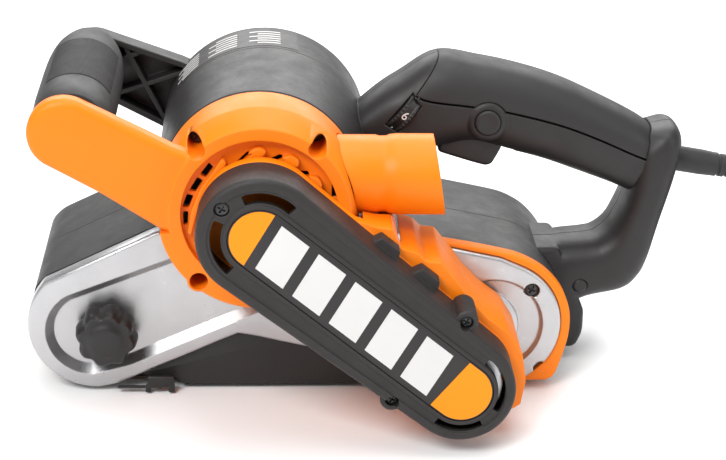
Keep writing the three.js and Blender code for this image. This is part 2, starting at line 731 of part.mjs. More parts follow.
function fanHousing() {
  const wall = 2.6;
  const slopeStart = -71;
  const rim = 38.7;
  const shell = turned(MOTOR_X, MOTOR_Z, [
    [0, HOUSING_FACE], [rim, HOUSING_FACE], [FAN_HOUSING_RADIUS, slopeStart],
    [FAN_HOUSING_RADIUS, HOUSING_BACK], [0, HOUSING_BACK],
  ], 36);
  const inside = HOUSING_FACE + 7.4;
  const chamber = turned(MOTOR_X, MOTOR_Z, [
    [0, inside], [rim - wall, inside], [FAN_HOUSING_RADIUS - wall, slopeStart],
    [FAN_HOUSING_RADIUS - wall, 0], [0, 0],
  ], 32);
  const lowerHalf = box(-FAR, 0, HOUSING_FACE, slopeStart, 0, 92);
  const skirt = bar(MOTOR_X, MOTOR_Z, FAN_HOUSING_RADIUS, HOUSING_FACE, slopeStart, 32)
    .intersect(lowerHalf);
  const [bulgeX, bulgeZ] = HOUSING_BOSSES[2];
  const bulge = bar(bulgeX, bulgeZ, BOSS_RADIUS + 1.2, HOUSING_FACE, -62, 14);
  const arm = prism(nearArmShape(0), HOUSING_FACE, ARM_BACK, 2, 8, 1);
  const armHollow = cut(
    prism(nearArmShape(3), HOUSING_FACE + 4, FAR, 0, 8),
    bar(MOTOR_X, MOTOR_Z, FAN_HOUSING_RADIUS, -FAR, FAR, 32),
  );
  const cores = HOUSING_BOSSES.map(([x, z]) => bar(x, z, BOSS_RADIUS, -FAR, -58, 14));
  const bosses = join(...cores).intersect(shell);
  const seat = bar(MOTOR_X, MOTOR_Z, BEARING_RADIUS + 3, HOUSING_FACE, -79, 20);
  const faceRecess = ring(MOTOR_X, MOTOR_Z, 33.1, 22, -FAR, HOUSING_FACE + 4.8, 32);
  const screwHoles = HOUSING_BOSSES.map(([x, z]) => bar(x, z, 3.9, -FAR, -74, 14));
  const vents = [];
  for (let i = 0; i < 8; i++) {
    const from = 1.3 + i * 0.4;
    vents.push(prism(sector(MOTOR_X, MOTOR_Z, 26.5, 31.5, from, from + 0.24), -FAR, -77, 0, 1));
  }
  return cut(
    join(cut(join(shell, skirt, bulge, arm), chamber, armHollow), bosses, seat),
    faceRecess,
    ...screwHoles,
    ...vents,
    bar(MOTOR_X, MOTOR_Z, BEARING_RADIUS + GAP, -FAR, FAR, 20),
    outletSocket(),
  );
}

// The clearance that the dust spout takes out of the round housing.
function outletSocket() {
  return alongX(OUTLET_RADIUS + GAP, 14, 70);
}

// A round bar along X on the dust spout's centre line.
function alongX(radius, xFrom, xTo, sides = 24) {
  const geometry = new THREE.CylinderGeometry(radius, radius, xTo - xFrom, sides);
  geometry.rotateZ(Math.PI / 2);
  geometry.translate((xFrom + xTo) / 2, OUTLET_Y, OUTLET_Z);
  return solid(geometry);
}

function dustOutlet() {
  const wall = 2.6;
  const start = 16;
  const tube = join(
    alongX(OUTLET_RADIUS, start, 70),
    alongX(OUTLET_RADIUS + 0.5, 50, 70),
  );
  const endCut = solid(new THREE.BoxGeometry(40, 60, 60).rotateY(-0.16))
    .translate([80.6, OUTLET_Y, OUTLET_Z]);
  const motorRoom = bar(MOTOR_X, MOTOR_Z, FAN_HOUSING_RADIUS - 2.6, -FAR, FAR, 36);
  return cut(tube, alongX(OUTLET_RADIUS - wall, start - 1, 90), endCut, motorRoom);
}

const HOUSING_SHAPE = [
  [14, 104], [33, 97], [39.4, 96.3], [43, 87.8], [50.5, 85.2], [54, 81.6], [60.1, 81],
  [68.3, 70.9], [73, 64], [81, 55.6], [90.5, 48.3], [96.9, 37.5], [98.8, 25.1], [97, 14],
  [88, 8.5], [66, 8.5], [50, 14], [4, 54],
];

function driveHousing() {
  const slabBack = HOUSING_FACE - GAP;
  const slab = prism(driveCapsule(26.2, 22.8), COVER_RIM + GAP, slabBack, 0, 12);
  const arm = prism(outline(HOUSING_SHAPE), COVER_RIM + 1.4, HOUSING_BACK + GAP, 1, 4, 1);
  const hollowShape = HOUSING_SHAPE.map(([x, z]) => {
    const middleX = 62;
    const middleZ = 48;
    const scale = 0.86;
    return [middleX + (x - middleX) * scale, middleZ + (z - middleZ) * scale];
  });
  const hollow = prism(outline(hollowShape), -84, FAR);
  const motorRoom = bar(MOTOR_X, MOTOR_Z, FAN_HOUSING_RADIUS + GAP + 0.3, slabBack, FAR, 32);
  return cut(
    join(slab, arm),
    hollow,
    motorRoom,
    alongX(OUTLET_RADIUS + 1, 0, 90),
    bar(MOTOR_X, MOTOR_Z, 9, -FAR, FAR, 20),
    bar(JACK_X, JACK_Z, BEARING_RADIUS + GAP, -FAR, FAR, 24),
  );
}

const COVER_UPPER = 26.4;
const COVER_LOWER = 23;
const COVER_EARS = [
  [69.9, 62.2],
  [39.6, 26.4],
];

// Arc vents round both ends of the drive cover.
function coverVents() {
  const upper = [
    [0.75, 1.95, MOTOR_X, MOTOR_Z, 16, 20.4],
    [2.7, 4.0, MOTOR_X, MOTOR_Z, 16, 20.4],
    [-0.55, 0.95, JACK_X, JACK_Z, 15.4, 18.6],
    [4.05, 5.25, JACK_X, JACK_Z, 15.4, 18.6],
  ];
  return upper.map(([from, to, x, z, inner, outer]) => {
    return prism(sector(x, z, inner, outer, from, to), -FAR, COVER_FACE + 6, 0, 6);
  });
}

// Small clip tabs along both straight edges of the drive cover.
function coverTabs() {
  const length = Math.hypot(JACK_X - MOTOR_X, JACK_Z - MOTOR_Z);
  const stepX = (JACK_X - MOTOR_X) / length;
  const stepZ = (JACK_Z - MOTOR_Z) / length;
  const root = 22.5;
  const tip = 28.6;
  const slope = 3;
  const tabs = [];
  [1, -1].forEach((side) => {
    [[39, 54.7], [61.2, 76.6]].forEach(([start, end]) => {
      const corners = [
        [start, root], [start + slope, tip], [end - slope, tip], [end, root],
      ].map(([along, out]) => [
        MOTOR_X + stepX * along - stepZ * side * out,
        MOTOR_Z + stepZ * along + stepX * side * out,
      ]);
      tabs.push(prism(outline(corners), COVER_RIM - 8, COVER_RIM));
    });
  });
  return tabs;
}

function driveCover() {
  const wall = 2.6;
  const face = 3.6;
  const rounding = 2.4;
  const outer = cut(
    prism(driveCapsule(COVER_UPPER, COVER_LOWER), COVER_FACE, COVER_RIM + 6, rounding, 9, 1),
    box(-FAR, FAR, COVER_RIM, FAR, -FAR, FAR),
  );
  const inner = prism(
    driveCapsule(COVER_UPPER - wall, COVER_LOWER - wall), COVER_FACE + face, FAR, 0, 9,
  );
  const ears = COVER_EARS.map(([x, z]) => bar(x, z, 5, COVER_FACE + 3, COVER_RIM, 12));
  const screwHoles = COVER_EARS.map(([x, z]) => bar(x, z, 2.9, -FAR, -97, 12));
  const panelRecess = prism(driveCapsule(13.5, 13.5), -FAR, COVER_FACE + 1.6, 0, 9);
  return cut(
    join(cut(outer, inner), ...ears, ...coverTabs()),
    ...screwHoles,
    ...coverVents(),
    panelRecess,
    bar(-31.4, 113.7, 3.3, -FAR, FAR, 14),
  );
}

function addHousings() {
  add("fan_housing", fanHousing(), "orange");
  add("drive_housing", driveHousing(), "orange");
  add("dust_outlet", dustOutlet(), "orange");
  add("drive_cover", driveCover(), "black");
  const panelFace = COVER_FACE + 0.3;
  add("cover_panel", prism(driveCapsule(13.2, 13.2), panelFace, panelFace + 1, 0, 9), "panel");
  COVER_EARS.forEach(([x, z], index) => {
    add("cover_screw_" + (index + 1), bar(x, z, 2.6, COVER_FACE + 3.6, -97.3, 12), "darkSteel");
  });
  add("cover_screw_3", bar(-31.4, 113.7, 3, COVER_FACE + 0.8, COVER_RIM, 12), "darkSteel");
  HOUSING_BOSSES.forEach(([x, z], index) => {
    add("housing_screw_" + (index + 1), bar(x, z, 3.5, -77.5, -74.3, 12), "darkSteel");
  });
}

// ---- black clamshell: motor barrel, belt guard and D-handle ----
const TOP_BAR = [
  [20, 113, 22, 97, 14],
  [36, 127.6, 37, 98, 16.5],
  [47.1, 135.3, 49, 99, 18.5],
  [63.5, 145.2, 65, 102, 19],
  [83, 142.8, 80, 105, 19],
  [101.3, 138.9, 98, 100.5, 18.8],
  [119.4, 133.2, 113, 96.4, 18.4],
  [137.6, 125, 128, 91, 18],
  [156, 115.6, 143, 85.4, 17.4],
  [164, 110, 153, 81, 16],
];

const REAR_STRUT = [
  [163, 112, 156, 104, 12],
  [172.6, 113, 155, 97, 17],
  [177, 106, 153.4, 86, 18.4],
  [175, 91, 151.4, 76.5, 18.8],
  [169.4, 68, 148.6, 69.4, 19],
  [164.9, 48.4, 145.2, 63.4, 19],
  [161, 39, 139.5, 58.8, 19],
  [153.6, 32.4, 133.9, 57.6, 19],
  [134.6, 27, 117.5, 55.2, 18.4],
  [119, 14, 100, 45, 17],
];

const REAR_TAIL = [
  [108, 56], [122, 56], [133.6, 28], [135.4, 24], [135.5, 13], [132.2, 5.2], [112, 5.2],
];

const GROOVE = [
  [50, 133.6], [57.2, 128.6], [77.4, 125.9], [94.6, 123.2], [118.3, 117.1], [136.9, 110],
  [155.7, 101.4], [161.5, 99],
];

// Everything above the seam between the hard handle and its soft top, lowered by some amount.
function aboveGroove(lowered) {
  const seam = GROOVE.map(([x, z]) => [x, z - lowered]);
  return prism(outline([...seam, [165, 112], [165, 170], [50, 170]]), -FAR, FAR);
}

const SKIN = 3.2;

// The room that the soft top takes on the handle.
function gripRoom() {
  const around = blendedBar(TOP_BAR, -GAP).intersect(aboveGroove(0.5));
  return cut(around, blendedBar(TOP_BAR, SKIN + GAP));
}

// The D-handle before it is split: hard body with a seat for the soft top.
function handleBody() {
  const strut = blendedBar(REAR_STRUT, 0, 16, 2.8);
  const tail = prism(outline(REAR_TAIL), -17, 17, 2.5, 4, 1);
  return cut(join(blendedBar(TOP_BAR), strut, tail), gripRoom());
}

function handleHollow() {
  const wall = 3;
  const lower = cut(blendedBar(TOP_BAR, wall, 8), aboveGroove(SKIN + wall));
  const upper = blendedBar(TOP_BAR, SKIN + GAP + wall, 8);
  const strut = blendedBar(REAR_STRUT, wall, 8, 2.8);
  const room = box(31, FAR, -FAR, FAR, -FAR, FAR).intersect(join(lower, upper, strut));
  return cut(room, box(-FAR, 122, -FAR, FAR, -FAR, 70));
}

function rearGrip() {
  const above = aboveGroove(0);
  const body = cut(blendedBar(TOP_BAR).intersect(above), blendedBar(TOP_BAR, SKIN));
  return largest(cut(body, dialRoom(), buttonCollar(GAP)));
}

const GUARD_SHAPE = [
  [-117.4, 41], [-116.2, 48], [-111, 53.5], [-61.9, 77.5], [-50, 80], [20, 78.6], [68.7, 69.6],
  [91, 65], [101, 62.6], [111, 57], [119, 48], [123.4, 38], [123.6, 27], [120.6, 14], [117.2, 5],
  [104, 5], [92, 41],
];

// The belt guard: a roof over the belt with a lip down its far side.
function guardOuter() {
  return cut(
    prism(outline(GUARD_SHAPE), PLATE_BACK + GAP, GUARD_FAR, 1.8, 4, 1),
    box(-FAR, FAR, -FAR, PLATE_BACK + 2.4, -FAR, FAR),
  ).add(prism(outline(GUARD_SHAPE), PLATE_BACK + GAP, -30));
}

const GUARD_ROOM_SHAPE = [
  [-125, 20], [-116, 41], [-114, 46.6], [-109.5, 51.4], [-61.4, 75], [-50, 77.6], [20, 76.2],
  [68.2, 67.2], [90.6, 62.6], [99.8, 60.4], [109.2, 55], [116.6, 46.8], [120.6, 37.4],
  [120.8, 27.4], [117.4, 15], [112, 0], [90, 20],
];

// The free room under the guard; the motor's barrel stays whole down to the belt itself.
function beltRoom() {
  const lipInside = GUARD_FAR - 2.2;
  const roof = prism(outline(GUARD_ROOM_SHAPE), -FAR, lipInside);
  const belt = prism(stadium(BELT_OUTER + 1.3), -FAR, FAR, 0, 8);
  return join(cut(roof, barrelOuter()), belt);
}

// A body turned about the motor's axle that leans over as the barrel widens.
function leaningTurned(profile, sides) {
  const points = profile.map(([radius, y]) => new THREE.Vector2(radius, y));
  const geometry = new THREE.LatheGeometry(points, sides);
  const places = geometry.attributes.position;
  const span = BARREL_WIDEST_Y - HOUSING_BACK;
  for (let i = 0; i < places.count; i++) {
    const y = places.getY(i);
    const part = Math.min(Math.max((y - HOUSING_BACK) / span, 0), 1);
    const x = MOTOR_X + places.getX(i) + BARREL_LEAN[0] * part;
    const z = MOTOR_Z + places.getZ(i) + BARREL_LEAN[1] * part;
    places.setXYZ(i, x, y, z);
  }
  return solid(geometry);
}

function barrelOuter() {
  const start = HOUSING_BACK + GAP;
  return leaningTurned([
    [0, start], [BARREL_NEAR, start], [BARREL_WIDE, BARREL_WIDEST_Y], [BARREL_WIDE, 31],
    [BARREL_WIDE - 1.4, 35], [BARREL_WIDE - 5, 38], [BARREL_WIDE - 11, MOTOR_FAR], [0, MOTOR_FAR],
  ], 32);
}

// The room for the motor, which ends above the belt.
function barrelRoom() {
  const room = leaningTurned([
    [0, -60], [BARREL_NEAR - BARREL_WALL, -60], [BARREL_NEAR - BARREL_WALL, HOUSING_BACK],
    [BARREL_WIDE - BARREL_WALL, BARREL_WIDEST_Y], [BARREL_WIDE - BARREL_WALL, 31],
    [BARREL_WIDE - 11, MOTOR_FAR - BARREL_WALL], [0, MOTOR_FAR - BARREL_WALL],
  ], 20);
  return cut(room, box(-FAR, FAR, -FAR, FAR, -FAR, MOTOR_ROOM_LOW));
}

// The far arm of the front grip: an open box that faces the grip, with crossed ribs.
function farArmShape(inset) {
  const shape = new THREE.Shape();
  shape.absarc(-92.6, 131.6, 13.6 - inset, 1.2, 3.9, false);
  shape.lineTo(-85.4, 112.7 + inset * 1.2);
  shape.lineTo(-56.7, 97.5 + inset * 1.2);
  shape.lineTo(-48, 95 + inset);
  shape.lineTo(-42, 127 - inset);
  shape.lineTo(-52, 131.6 - inset);
  return shape;
}

function farArm() {
  const wall = 2.6;
  const rounding = 5.5;
  const bevelled = prism(farArmShape(0), FAR_ARM_NEAR - rounding, FAR_ARM_FAR, rounding, 6, 2);
  const body = cut(bevelled, box(-FAR, FAR, -FAR, FAR_ARM_NEAR, -FAR, FAR));
  const pocket = prism(farArmShape(wall), -FAR, FAR_ARM_FAR - rounding, 0, 6);
  const ribs = [
    [[-82, 146], [-58, 98]],
    [[-88, 114], [-44, 129]],
    [[-102, 124], [-66, 138]],
  ].map(([[x1, z1], [x2, z2]]) => {
    const length = Math.hypot(x2 - x1, z2 - z1);
    const angle = (Math.atan2(z2 - z1, x2 - x1) * 180) / Math.PI;
    const rib = box(-length / 2, length / 2, FAR_ARM_NEAR + 1, FAR_ARM_FAR - 3, -1, 1);
    return rib.rotate([0, -angle, 0]).translate([(x1 + x2) / 2, 0, (z1 + z2) / 2]);
  });
  return join(cut(body, pocket), join(...ribs).intersect(body));
}

// Holes in the shells for the trigger, the dial, the button, the cord and the screws.
function handleOpenings() {
  const triggerSlot = box(63.6, 99.6, -11.3, 11.3, 86, 112.6);
  const buttonHole = bar(BUTTON_X, BUTTON_Z, 6.05, -FAR, 0, 20);
  const cordHole = solid(new THREE.CylinderGeometry(6.2, 6.2, 60, 20).rotateZ(Math.PI / 2))
    .rotate([0, CORD_SLOPE, 0])
    .translate([182, 0, CORD_EXIT_Z]);
  return [triggerSlot, buttonHole, cordHole, dialRoom(), alongX(OUTLET_RADIUS + 0.8, 10, 70)];
}

// A disc on the dial's tilted axle.
function dialWheel(radius, halfThickness) {
  const geometry = new THREE.CylinderGeometry(radius, radius, 2 * halfThickness, 24);
  geometry.rotateZ(Math.PI / 2);
  geometry.rotateY(-DIAL_TILT + Math.PI / 2);
  return solid(geometry).translate([DIAL_X, DIAL_Y, DIAL_Z]);
}

function dialRoom() {
  return dialWheel(DIAL_RADIUS + 0.5, 3.5);
}

// The raised ring round the lock button.
function buttonCollar(grow) {
  return bar(BUTTON_X, BUTTON_Z, 8.75 + grow, -19.9 - grow, -10, 22);
}

function clamshell() {
  const outer = join(barrelOuter(), guardOuter(), handleBody(), farArm(), buttonCollar(0));
  return cut(outer, barrelRoom(), beltRoom(), handleHollow(), ...handleOpenings());
}

// capped screw well near the foot of the handle
const HANDLE_SCREW_X = 132.4;
const HANDLE_SCREW_Z = 37.7;

function addClamshell() {
  const whole = clamshell();
  const nearHalf = box(-FAR, FAR, -FAR, -HALF_SEAM, -FAR, FAR);
  const farHalf = box(-FAR, FAR, HALF_SEAM, FAR, -FAR, FAR);
  const screwWell = bar(HANDLE_SCREW_X, HANDLE_SCREW_Z, 3.6, -FAR, -9, 14);
  add("left_shell", cut(whole.intersect(nearHalf), screwWell), "black");
  add("right_shell", whole.intersect(farHalf), "black");
  add("rear_grip", rearGrip(), "rubber");
}

// ---- controls in the handle ----
function trigger() {
  const shape = outline([
    [64.4, 109], [64.6, 101], [68, 99.8], [80, 96], [86.6, 94.2], [89.4, 95], [91.6, 99],
    [94, 104], [93, 108.4], [67, 111.8],
  ]);
  return prism(shape, -11, 11, 1.4, 4, 1);
}

function addControls() {
  add("trigger", trigger(), "black");
  add("lock_button", bar(BUTTON_X, BUTTON_Z, 5.75, -21.4, -11.6, 20), "black");
  add("speed_dial", dialWheel(DIAL_RADIUS, 3), "black");
  add("switch_module", box(75, 104, -8, 8, 114.4, 127), "black");
}

// ---- front grip ----
function addFrontGrip() {
  const near = ARM_BACK + GAP;
  const far = FAR_ARM_NEAR - GAP;
  const core = 11.6;
  const sleeve = turned(GRIP_X, GRIP_Z, [
    [core + GAP, near], [15.4, near], [16.6, near + 6], [17.3, -45], [17.3, -10], [16.4, 8],
    [14.8, 18], [13.4, far], [core + GAP, far], [core + GAP, near],
  ], 26);
  add("front_grip", sleeve, "rubber");
  add("front_grip_core", ring(GRIP_X, GRIP_Z, core, 7, near, far, 20), "black");
}

// ---- cord ----
const CORD_EXIT_Z = 93.6;
const CORD_SLOPE = 9.4; // degrees that the sleeve points down at the rear
const SLEEVE_START = 168;
const SLEEVE_END = 211;
const SLEEVE_DROP = Math.tan((CORD_SLOPE * Math.PI) / 180);

// Height of the sleeve's centre line at a distance along the tool.
function sleeveZ(x) {
  return CORD_EXIT_Z - (x - 182) * SLEEVE_DROP;
}

function cordSleeve() {
  const length = (SLEEVE_END - SLEEVE_START) / Math.cos((CORD_SLOPE * Math.PI) / 180);
  const profile = [
    [0, 0], [5.9, 0], [5.9, 12], [5.5, 20], [5, length - 8], [4.4, length], [0, length],
  ];
  const points = profile.map(([radius, along]) => new THREE.Vector2(radius, along));
  const geometry = new THREE.LatheGeometry(points, 20);
  geometry.rotateZ(-Math.PI / 2);
  geometry.rotateY((CORD_SLOPE * Math.PI) / 180);
  geometry.translate(SLEEVE_START, 0, sleeveZ(SLEEVE_START));
  return solid(geometry);
}

// The cord's route from the sleeve down to the floor and along it to the coil.
const CORD_ROUTE = [
  [SLEEVE_END + 0.9, 0, sleeveZ(SLEEVE_END + 0.9)],
  [217, 0, 87.4],
  [224, 0, 84.6],
  [230.5, 0, 79.8],
  [235.6, 0.2, 73.4],
  [239, 0.5, 65.6],
  [240.6, 1, 57],
  [241, 2, 48],
  [241.1, 4, 39],
  [241.3, 7.6, 30],
  [241.6, 13.4, 21],
  [241.8, 21, 13],
  [242, 30, 7],
  [242, COIL_Y - 36.4, CORD_RADIUS + 0.1],
];

function cordCoil() {
  const inner = COIL_RADIUS - COIL_HALF;
  const outer = COIL_RADIUS + COIL_HALF;
  const profile = [
    [inner, 0], [outer, 0], [outer, COIL_HEIGHT], [inner, COIL_HEIGHT], [inner, 0],
  ];
  const points = profile.map(([radius, z]) => new THREE.Vector2(radius, z));
  const geometry = new THREE.LatheGeometry(points, 32);
  geometry.rotateX(Math.PI / 2);
  geometry.translate(COIL_X, COIL_Y, 0.05);
  return solid(geometry);
}

const PLUG_RADIUS = 18;
const PLUG_X = COIL_X + COIL_RADIUS + CORD_RADIUS * 2;
const PLUG_Y = COIL_Y - 34;

// A round two-pin mains plug that lies on its side beside the coil.
function cordPlug() {
  const points = [
    [0, 0], [4.4, 0], [5.6, 16], [11, 22], [13.5, 34], [PLUG_RADIUS, 44], [PLUG_RADIUS, 50],
    [0, 50],
  ].map(([radius, y]) => new THREE.Vector2(radius, y));
  const body = solid(new THREE.LatheGeometry(points, 20));
  const pins = [-9.5, 9.5].map((x) => {
    const pin = new THREE.CylinderGeometry(2.4, 2.4, 20, 12);
    pin.translate(x, 59, 0);
    return solid(pin);
  });
  return join(body, ...pins).rotate([0, 0, 180]).translate([PLUG_X, PLUG_Y, PLUG_RADIUS + 0.1]);
}

function addCord() {
  add("cord_sleeve", cordSleeve(), "rubber");
  add("power_cord", cable(CORD_ROUTE, CORD_RADIUS, 24, 8), "rubber");
  add("cord_coil", cordCoil(), "rubber");
  add("cord_plug", cordPlug(), "black");
}

addBeltUnit();
addPlate();
addDriveTrain();
addMotor();
addHousings();
addClamshell();
addControls();
addFrontGrip();
addCord();

export default tool;
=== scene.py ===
"""Looks of a handheld belt sander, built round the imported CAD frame. Lengths below are in mm."""

import math

import bmesh
import bpy
import numpy as np
from mathutils import Matrix, Vector


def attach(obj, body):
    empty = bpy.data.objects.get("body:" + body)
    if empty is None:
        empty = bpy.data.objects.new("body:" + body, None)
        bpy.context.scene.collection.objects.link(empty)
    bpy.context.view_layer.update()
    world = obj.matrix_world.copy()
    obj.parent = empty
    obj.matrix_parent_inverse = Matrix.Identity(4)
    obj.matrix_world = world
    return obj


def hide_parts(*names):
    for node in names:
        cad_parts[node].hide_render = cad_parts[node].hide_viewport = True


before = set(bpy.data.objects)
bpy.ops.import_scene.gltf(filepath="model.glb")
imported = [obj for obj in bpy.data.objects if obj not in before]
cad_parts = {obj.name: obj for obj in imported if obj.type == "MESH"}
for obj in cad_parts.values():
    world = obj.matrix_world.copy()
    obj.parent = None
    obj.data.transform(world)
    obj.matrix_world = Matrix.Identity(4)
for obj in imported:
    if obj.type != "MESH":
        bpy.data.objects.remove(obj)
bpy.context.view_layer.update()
SCENE = bpy.context.scene
MM = 0.001
GAP = 0.3
FAR = 400.0

# planes across the tool
COVER_FACE = -113.8
COVER_RIM = -93.0
HOUSING_FACE = -86.5
HOUSING_BACK = -51.0
PLATE_FACE = -50.4
PLATE_BACK = -42.0
GUARD_FAR = 41.0
MOTOR_FAR = 39.0

# belt and rollers
ROLLER_RADIUS = 26.9
ROLLER_HALF = 36.5
BELT_INNER = ROLLER_RADIUS + GAP
BELT_OUTER = BELT_INNER + 1.2
BELT_HALF = 37.5
AXLE_X = 89.582
AXLE_Z = 28.4

# motor and drive
MOTOR_X = -16.0
MOTOR_Z = 100.3
BARREL_NEAR = 43.0
BARREL_WIDE = 47.2
BARREL_WIDEST_Y = -2.0
BARREL_LEAN = (2.0, -0.8)
BARREL_WALL = 2.4
FAN_HOUSING_RADIUS = 42.7
JACK_X = 68.9
JACK_Z = 31.1
DRIVE_LENGTH = math.hypot(JACK_X - MOTOR_X, JACK_Z - MOTOR_Z)

# grip, outlet and controls
GRIP_X = -94.3
GRIP_Z = 135.0
ARM_BACK = -77.0
FAR_ARM_NEAR = 25.0
FAR_ARM_FAR = 40.0
OUTLET_Y = -65.0
OUTLET_Z = 111.0
OUTLET_RADIUS = 16.8
BUTTON_X = 85.7
BUTTON_Z = 118.3
DIAL = (48.4, -9.6, 121.4)
DIAL_RADIUS = 11.5
DIAL_TILT = 0.88
KNOB_X = -84.0
KNOB_Z = 30.0

# screws, an open screw hole and a screw cap, as (x, z)
PLATE_SCREW = (105.3, 49.6)
PLATE_HOLE = (111.4, 11)
COVER_TOP_SCREW = (-31.4, 113.7)
HANDLE_CAP = (132.4, 37.7)

# cord
CORD_RADIUS = 3.6
COIL_X = 282.0
COIL_Y = 76.0
COIL_RADIUS = 40.0


# ---- camera ----
def link(obj):
    SCENE.collection.objects.link(obj)
    return obj


def make_camera():
    data = bpy.data.cameras.new("camera")
    data.lens = 98.3
    data.sensor_width = 36.0
    data.clip_end = 20.0
    camera = link(bpy.data.objects.new("camera", data))
    right = (0.998742, -0.045949, 0.020086)
    up = (-0.001017, 0.381888, 0.924208)
    back = (-0.050137, -0.923066, 0.381361)
    place = Matrix((right, up, back)).transposed().to_4x4()
    place.translation = Vector((-14.52666, -854.20497, 411.08130)) * MM
    camera.matrix_world = place
    SCENE.camera = camera


# ---- mesh helpers ----
def mesh_object(name, vertices, faces):
    mesh = bpy.data.meshes.new(name)
    mesh.from_pydata([(x * MM, y * MM, z * MM) for x, y, z in vertices], [], faces)
    mesh.validate()
    return link(bpy.data.objects.new(name, mesh))


def outward(obj):
    """Turns every face of a closed mesh outwards."""
    bm = bmesh.new()
    bm.from_mesh(obj.data)
    bmesh.ops.recalc_face_normals(bm, faces=bm.faces)
    bm.to_mesh(obj.data)
    bm.free()
    return obj


def prism(points, y_from, y_to, bevel=0.0, segments=3, far_bevel=None):
    """An outline of (x, z) points pulled along Y, with both rims rounded by a bevel."""
    count = len(points)
    bm = bmesh.new()
    near = [bm.verts.new((x * MM, y_from * MM, z * MM)) for x, z in points]
    far = [bm.verts.new((x * MM, y_to * MM, z * MM)) for x, z in points]
    bm.faces.new(near)
    bm.faces.new(list(reversed(far)))
    for i in range(count):
        j = (i + 1) % count
        bm.faces.new((near[j], near[i], far[i], far[j]))
    bmesh.ops.recalc_face_normals(bm, faces=bm.faces)
    near_set = set(near)
    far_set = set(far)
    for size, rim in ((bevel, near_set), (bevel if far_bevel is None else far_bevel, far_set)):
        if size <= 0:
            continue
        edges = [e for e in bm.edges if e.verts[0] in rim and e.verts[1] in rim]
        bmesh.ops.bevel(
            bm, geom=edges, offset=size * MM, segments=segments, profile=0.5, affect="EDGES",
            clamp_overlap=False,
        )
    mesh = bpy.data.meshes.new("prism")
    bm.to_mesh(mesh)
    bm.free()
    return link(bpy.data.objects.new("prism", mesh))


def box(x_from, x_to, y_from, y_to, z_from, z_to, bevel=0.0):
    """A box. A bevel above zero rounds all of its edges."""
    corners = [
        (x, y, z) for x in (x_from, x_to) for y in (y_from, y_to) for z in (z_from, z_to)
    ]
    faces = [(0, 1, 3, 2), (4, 6, 7, 5), (0, 4, 5, 1), (2, 3, 7, 6), (0, 2, 6, 4), (1, 5, 7, 3)]
    obj = outward(mesh_object("box", corners, faces))
    if bevel > 0:
        bm = bmesh.new()
        bm.from_mesh(obj.data)
        bmesh.ops.bevel(
            bm, geom=bm.edges[:], offset=bevel * MM, segments=2, profile=0.5, affect="EDGES",
            clamp_overlap=True,
        )
        bm.to_mesh(obj.data)
        bm.free()
    return obj


def turned(x, z, profile, sides=96):
    """A profile of (radius, y) points turned about an axle along Y."""
    closed = profile[0] == profile[-1]
    points = profile[:-1] if closed else profile
    vertices = []
    rings = []
    for radius, y in points:
        if radius < 1e-6:
            rings.append([len(vertices)] * sides)
            vertices.append((x, y, z))
            continue
        rings.append(list(range(len(vertices), len(vertices) + sides)))
        for i in range(sides):
            angle = 2 * math.pi * i / sides
            vertices.append((x + radius * math.cos(angle), y, z + radius * math.sin(angle)))
    faces = []
    pairs = list(zip(rings, rings[1:]))
    if closed:
        pairs.append((rings[-1], rings[0]))
    for a, b in pairs:
        for i in range(sides):
            j = (i + 1) % sides
            corners = [a[i], a[j], b[j], b[i]]
            unique = list(dict.fromkeys(corners))
            if len(unique) >= 3:
                faces.append(unique)
    return outward(mesh_object("turned", vertices, faces))


def bar(x, z, radius, y_from, y_to, sides=48):
    return turned(x, z, [(0, y_from), (radius, y_from), (radius, y_to), (0, y_to)], sides)


def ring(x, z, outer, inner, y_from, y_to, sides=96):
    profile = [(inner, y_from), (outer, y_from), (outer, y_to), (inner, y_to), (inner, y_from)]
    return turned(x, z, profile, sides)


def reshaped(obj, move):
    """Moves every vertex of a mesh by a function of (x, y, z) in mm."""
    for vertex in obj.data.vertices:
        x, y, z = (value / MM for value in vertex.co)
        vertex.co = Vector(move(x, y, z)) * MM
    obj.data.update()
    return obj


def turned_to(obj, matrix):
    obj.data.transform(matrix)
    return obj


def spun(obj, angle, axis):
    return turned_to(obj, Matrix.Rotation(angle, 4, axis))


def moved(obj, x, y, z):
    return turned_to(obj, Matrix.Translation(Vector((x, y, z)) * MM))


def along_x(radius, x_from, x_to, sides=96, profile=None):
    """A round bar, or a turned profile of (radius, x), on the dust spout's centre line."""
    shape = profile or [(0, x_from), (radius, x_from), (radius, x_to), (0, x_to)]
    obj = turned(0, 0, shape, sides)
    reshaped(obj, lambda x, y, z: (y, OUTLET_Y + x, OUTLET_Z + z))
    return outward(obj)


def boolean(obj, others, operation):
    for other in others:
        modifier = obj.modifiers.new("cut", "BOOLEAN")
        modifier.operation = operation
        modifier.solver = "MANIFOLD"
        modifier.object = other
    bpy.context.view_layer.update()
    graph = bpy.context.evaluated_depsgraph_get()
    mesh = bpy.data.meshes.new_from_object(obj.evaluated_get(graph))
    obj.modifiers.clear()
    obj.data = mesh
    for other in others:
        bpy.data.objects.remove(other)
    return obj


def cut(obj, *others):
    return boolean(obj, others, "DIFFERENCE")


def join(obj, *others):
    return boolean(obj, others, "UNION")


def common(obj, *others):
    return boolean(obj, others, "INTERSECT")


def copy_of(obj):
    twin = obj.copy()
    twin.data = obj.data.copy()
    return link(twin)


# ---- outlines ----
def arc(x, z, radius, start, end, steps=24):
    angles = [start + (end - start) * i / steps for i in range(steps + 1)]
    return [(x + radius * math.cos(a), z + radius * math.sin(a)) for a in angles]


def capsule(x1, z1, r1, x2, z2, r2, steps=40):
    along = math.atan2(z2 - z1, x2 - x1)
    spread = math.acos((r1 - r2) / math.hypot(x2 - x1, z2 - z1))
    first = arc(x1, z1, r1, along + spread, along + 2 * math.pi - spread, steps)
    return first + arc(x2, z2, r2, along - spread, along + spread, steps)


